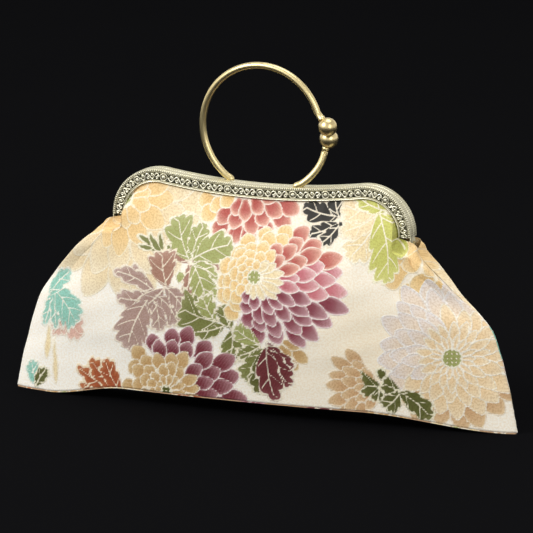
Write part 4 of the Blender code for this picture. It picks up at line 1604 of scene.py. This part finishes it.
BROCADE_BASE = BaseForm(
    name="brocade_base_sheet",
    node="outer_base_panel",
    slot="base_brocade",
    panel="brocade_shell",
    flat=(0.338, 0.042),
    length=HALF_WIDTH,
    inset=0.0,
    low=0.0,
    thickness=0.8,
    columns=300,
    across=26,
)
LINING_BASE = BaseForm(
    name="lining_base_sheet",
    node="lining_base",
    slot="cream_lining",
    panel="lining_sheet",
    flat=(0.314, 0.038),
    length=157.0,
    inset=1.4,
    low=1.5,
    thickness=0.5,
    columns=120,
    across=12,
)


def normals(grid: Array) -> Array:
    """Unit normals of a smooth grid, on the side of growing depth."""
    normal = np.cross(np.gradient(grid, axis=0), np.gradient(grid, axis=1))
    return normal / np.maximum(np.linalg.norm(normal, axis=2, keepdims=True), 1e-9)


@dataclass
class Bag:
    """Brocade shell and lining of the purse."""

    brocade: Material
    base_brocade: Material
    lining: Material
    columns: int = 370
    rows: int = 186
    flank: int = 30
    lining_grid: tuple[int, int] = (150, 70)
    crease_width: float = 7.0
    crease_passes: int = 26
    hem: tuple = ((1.9, 0.1), (1.0, 0.22), (0.35, 0.16))
    tuck: tuple = (8.4, 7.6, 6.0, 4.0, 2.6)
    lining_tuck: tuple = (9.2, 7.6, 5.0, 2.6)
    thickness: float = 0.5
    bend_low: float = 92.0
    bend_high: float = 124.0
    left_slump: float = 2.5
    right_slump: float = 8.0
    slump_start: Pair = (62.0, 90.0)
    slump_stop: Pair = (104.0, 118.0)
    slump_side: Pair = (84.0, 112.0)
    gather_depth: float = 0.4
    gather_reach: float = 11.0
    gather_pitch: float = 9.5
    pucker_depth: float = 0.3
    pucker_pitch: float = 6.5

    def shell(self, form: PanelForm) -> tuple[Array, Array]:
        """Grid of the brocade panel, with its flanks, and the cloth places of its points.

        Args:
            form: The panel's shape.

        Returns:
            The grid, and the cloth places.
        """
        u = np.linspace(-1.0, 1.0, self.columns)
        v = 1.0 - (1.0 - np.linspace(0.0, 1.0, self.rows)) ** 1.12
        uu, vv = np.meshgrid(u, v)
        main = form.main(uu, vv)
        right = form.flank(v, self.flank)
        left = right[:, ::-1] * np.array([-1.0, 1.0, 1.0])
        grid = np.concatenate([left, main, right], 1)
        cloth = np.stack([grid[..., 0], grid[..., 2]], -1)
        steps = np.linalg.norm(np.diff(grid, axis=1), axis=2)
        for k in range(self.flank, 0, -1):
            cloth[:, k - 1, 0] = cloth[:, k, 0] - steps[:, k - 1]
            cloth[:, -k, 0] = cloth[:, -k - 1, 0] + steps[:, -k]
        span = np.arange(grid.shape[1])
        crease = np.zeros(grid.shape[1])
        for ridge in (self.flank, grid.shape[1] - 1 - self.flank):
            crease = np.maximum(crease, bell(span, ridge, self.crease_width))
        crease = crease[None, :, None]
        for _ in range(self.crease_passes):
            soft = grid.copy()
            soft[:, 1:-1] = 0.25 * grid[:, :-2] + 0.5 * grid[:, 1:-1] + 0.25 * grid[:, 2:]
            grid = grid + (soft - grid) * crease
        slump = ease(*self.slump_start, grid[..., 2]) * (1.0 - ease(*self.slump_stop, grid[..., 2]))
        right, left = [ease(*self.slump_side, sign * grid[..., 0]) for sign in (1.0, -1.0)]
        grid[..., 0] += slump * (self.left_slump * left - self.right_slump * right)
        return grid, cloth

    def rumple(self, form: PanelForm, grid: Array, cloth: Array) -> Array:
        """Push the cloth in and out a little: gathers under the lip, soft waves, and seam puckers.

        Args:
            form: The panel's shape.
            grid: The smooth grid.
            cloth: Its cloth places.

        Returns:
            The rumpled grid.
        """
        x, z = cloth[..., 0], cloth[..., 1]
        rows = np.linspace(0.0, 1.0, len(grid))[:, None]
        below = (1.0 - rows) * 150.0
        gathers = self.gather_depth * np.exp(-below / self.gather_reach)
        gathers = gathers * np.sin(math.tau * (x + 2.0 * np.sin(0.11 * x)) / self.gather_pitch)
        gathers = gathers * ease(0.0, 3.0, below)
        waves = 0.5 * np.sin(0.085 * x + 0.06 * z) * np.sin(0.07 * z - 0.045 * x + 1.0)
        waves = waves + 0.22 * np.sin(0.19 * x - 0.13 * z + 2.0) * np.sin(0.21 * z + 0.07 * x)
        calm = ease(0.02, 0.2, rows) * (1.0 - ease(0.9, 0.97, rows))
        span = np.arange(grid.shape[1])
        edge = np.minimum(span, grid.shape[1] - 1 - span)[None, :]
        pucker = self.pucker_depth * np.exp(-edge / 4.0) * np.sin(math.tau * z / self.pucker_pitch)
        pucker = pucker * ease(0.5, 2.0, edge)
        moved = grid + normals(grid) * (gathers + waves * calm + pucker)[..., None]
        moved[..., 1] = np.maximum(moved[..., 1], form.parting)
        return moved

    def outer(self, side: Side) -> None:
        """Build the front or back brocade panel, with its hem and the part tucked into the frame.

        Args:
            side: Front or back.
        """
        form = OUTER_FORM
        grid, cloth = self.shell(form)
        grid = self.rumple(form, grid, cloth)
        hem, tuck = [], []
        for inward, down in self.hem:
            row = grid[0].copy()
            row[:, 1] = np.maximum(row[:, 1] - inward, form.parting)
            row[:, 2] -= down
            hem.append(row)
        u = np.linspace(-1.0, 1.0, self.columns)
        inside = np.abs(u) <= form.tail
        middle = slice(self.flank, self.flank + self.columns)
        for offset in self.tuck:
            row = grid[-1].copy()
            row[middle] = np.where(inside[:, None], form.tucked(u, offset), row[middle])
            tuck.append(row)
        under = [cloth[0] - (0.0, 1.0)] * len(hem)
        over = [cloth[-1] + (0.0, form.lip - offset) for offset in self.tuck]
        cells = np.ones((len(hem) + self.rows + len(tuck) - 1, grid.shape[1] - 1), bool)
        kept = np.zeros(grid.shape[1] - 1, bool)
        kept[self.flank : self.flank + self.columns - 1] = inside[:-1] & inside[1:]
        cells[len(hem) + self.rows - 1 :] = kept
        grid = np.concatenate([hem, grid, tuck])
        faces = np.array(grid_faces(*grid.shape[:2], turned=side is Side.BACK))[cells.ravel()]
        used = np.unique(faces)
        number = np.full(grid.shape[0] * grid.shape[1], -1)
        number[used] = np.arange(len(used))
        points = (grid * (1.0, side.value, 1.0)).reshape(-1, 3)[used]
        flat = np.concatenate([under, cloth, over]).reshape(-1, 2)[used]
        piece = add_piece(f"{side.word}_brocade_shell", points, number[faces].tolist(), self.brocade)
        self.thread(piece, weave_flowers(flat[:, 0], flat[:, 1], side))
        self.hang(piece, f"outer_{side.word}_panel")

    def thread(self, piece: Piece, loom: Loom) -> None:
        """Store the woven fields on the piece.

        Args:
            piece: The woven piece.
            loom: Its threads.
        """
        for name in ("thread", "outline", "line", "raised"):
            set_field(piece, name, getattr(loom, name))
        set_field(piece, "cloth", np.stack([loom.x, loom.z, np.zeros(len(loom.x))], 1))

    def hang(self, piece: Piece, node: str) -> None:
        """Let a panel stand for its CAD node, with its transform baked into its mesh.

        Args:
            piece: The panel.
            node: The CAD node that it stands for.
        """
        seat(piece, node)
        low, high = (0.0, 0.0, self.bend_low * MM), (0.0, 0.0, self.bend_high * MM)
        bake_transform(piece)

    def inner(self, side: Side) -> None:
        """Build one side of the lining as a thin closed sheet.

        Args:
            side: Front or back.
        """
        form = LINING_FORM
        columns, rows = self.lining_grid
        uu, vv = np.meshgrid(np.linspace(-1.0, 1.0, columns), np.linspace(0.0, 1.0, rows))
        tuck = [form.tucked(uu[0], offset) for offset in self.lining_tuck]
        grid = np.concatenate([form.main(uu, vv), tuck])
        inside = grid - (0.0, self.thickness, 0.0)
        inside[..., 1] = np.maximum(inside[..., 1], form.parting)
        points, faces = closed_sheet(grid, inside)
        if side is Side.BACK:
            faces = [face[::-1] for face in faces]
        piece = add_piece(f"{side.word}_lining_sheet", points * (1.0, side.value, 1.0), faces, self.lining)
        self.hang(piece, f"lining_{side.word}")

    def floor(self, base: BaseForm) -> None:
        """Build one layer of the boat-shaped base.

        Args:
            base: The layer to build.
        """
        form, woven = OUTER_FORM, base is BROCADE_BASE
        u = np.sin(0.5 * math.pi * np.linspace(-1.0, 1.0, base.columns)) * 0.995
        along = u * base.length / HALF_WIDTH
        half = np.maximum(0.35, form.edge + (form.base - form.edge) * form.lens(along) - base.inset)
        share = np.linspace(-1.0, 1.0, base.across)[:, None]
        rim = 0.25 * ease(0.92, 1.0, np.abs(share))
        x, z = u * base.length + 0.0 * share, form.arch_z(along) + base.low + 0.0 * share
        under = np.stack([x, half * share, z + rim], -1)
        above = np.stack([x, half * share, z + base.thickness - rim * 0.6], -1)
        points, faces = closed_sheet(above, under)
        piece = add_piece(base.name, points, faces, self.base_brocade if woven else self.lining)
        if woven:
            loom = Loom(points[:, 0], points[:, 1], BASE_GROUND)
            for flower in BASE_FLOWERS:
                flower.weave(loom)
            self.thread(piece, loom)
        seat(piece, base.node, Body.POUCH)

    def build(self) -> None:
        """Build the shell, the lining and both bases."""
        for side in Side:
            self.outer(side)
            self.inner(side)
        for base in (BROCADE_BASE, LINING_BASE):
            self.floor(base)


# Studio


@dataclass(frozen=True)
class AreaLamp:
    """One soft studio lamp, placed in metres and aimed at the purse."""

    name: str
    spot: Place
    size: float
    power: float
    aim: Place = (0.0, 0.0, 0.09)

    def build(self) -> None:
        """Add the lamp to the scene."""
        data = bpy.data.lights.new(self.name, "AREA")
        data.shape = "DISK"
        data.size = self.size
        data.energy = self.power
        lamp = bpy.data.objects.new(self.name, data)
        lamp.location = self.spot
        lamp.rotation_euler = (Vector(self.aim) - Vector(self.spot)).to_track_quat("-Z", "Y").to_euler()
        bpy.context.scene.collection.objects.link(lamp)


@dataclass(frozen=True)
class Studio:
    """Dark floor, soft light and the camera at the photograph's angle."""

    azimuth: float = 22.0
    elevation: float = 12.5
    distance: float = 3.75
    lens: float = 406.0
    aim: Place = (0.002, 0.0, 0.092)
    floor_reach: float = 12.0
    room_light: float = 1.15

    def build(self) -> None:
        """Add floor, world, lamps and camera."""
        scene = bpy.context.scene
        scene.view_settings.view_transform = "Standard"
        self.floor()
        self.sky(scene)
        lamps = (
            AreaLamp("key_lamp", (-1.6, -1.85, 1.85), 1.3, 56.0),
            AreaLamp("fill_lamp", (1.9, -1.6, 1.1), 1.2, 17.0),
            AreaLamp("top_lamp", (0.1, 0.4, 2.3), 1.4, 18.0),
        )
        for lamp in lamps:
            lamp.build()
        self.camera(scene)

    def floor(self) -> None:
        """Add the dark floor."""
        reach = self.floor_reach / MM
        points = np.array([(x * reach, y * reach, 0.0) for x, y in ((-1, -1), (1, -1), (1, 1), (-1, 1))])
        board = Paint("studio_floor", {"Specular IOR Level": 0.0, "Roughness": 0.9})
        paper = board.noise(board.place(), 3.0, 2.0)
        colour = board.mix(paper * 0.2, (0.004, 0.004, 0.0045), (0.007, 0.007, 0.0075))
        add_piece("studio_floor", points, [[0, 1, 2, 3]], board.dressed(base_color=colour))

    def sky(self, scene: bpy.types.Scene) -> None:
        """Light the room from a pale horizon and a greyer ceiling.

        Args:
            scene: The scene to light.
        """
        world = bpy.data.worlds.new("studio_room")
        scene.world = world
        world.use_nodes = True
        board = Board(world.node_tree)
        spot = board.add("TexCoord", {}, {}, "Generated")
        up = board.add("SeparateXYZ", {}, {0: spot}, 2)
        colour = board.mix(up.eased(0.05, 0.75), (0.95, 0.95, 0.94), (0.50, 0.50, 0.50))
        board.plug(world.node_tree.nodes["Background"].inputs["Color"], colour)
        world.node_tree.nodes["Background"].inputs["Strength"].default_value = self.room_light

    def camera(self, scene: bpy.types.Scene) -> None:
        """Add the camera.

        Args:
            scene: The scene that is looked at.
        """
        data = bpy.data.cameras.new("photo_camera")
        data.lens = self.lens
        data.sensor_width = 36.0
        camera = bpy.data.objects.new("photo_camera", data)
        a, e = math.radians(self.azimuth), math.radians(self.elevation)
        back = Vector((math.sin(a) * math.cos(e), -math.cos(a) * math.cos(e), math.sin(e)))
        camera.location = Vector(self.aim) + back * self.distance
        camera.rotation_euler = (-back).to_track_quat("-Z", "Y").to_euler()
        data.clip_start = 0.1
        data.clip_end = 60.0
        scene.collection.objects.link(camera)
        scene.camera = camera


def main() -> None:
    """Load the frame, build the purse round it and report each piece."""
    logging.basicConfig(level=logging.INFO, format="%(message)s")
    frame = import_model()
    Studio().build()
    rod = DrawnBrass("ring_brass", (0.80, 0.66, 0.34), (0.46, 0.34, 0.13), 0.3).material()
    ball = DrawnBrass("snap_ball_brass", (0.74, 0.60, 0.31), (0.42, 0.31, 0.13), 0.27).material()
    dark = DrawnBrass("rivet_brass", (0.40, 0.31, 0.14), (0.20, 0.14, 0.06), 0.34).material()
    ClaspFrame(CURVE, EmbossedBrass().material(), dark).build()
    RingHandle(CURVE, rod, ball).build()
    lining = PlainCloth("cream_cotton", (0.82, 0.75, 0.60), (0.70, 0.62, 0.47), 0.9).material()
    brocade = WovenSilk("ivory_chrysanthemum_brocade").material()
    base = WovenSilk("russet_base_brocade").material()
    Bag(brocade, base, lining).build()
    paper = PlainCloth("twisted_paper", (0.70, 0.60, 0.42), (0.52, 0.43, 0.29), 1.2).material()
    for name in ("front_paper_cord", "back_paper_cord"):
        cord = frame["nodes"][name]
        for slot in cord.material_slots:
            slot.material = paper
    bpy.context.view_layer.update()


if __name__ == "__main__":
    main()
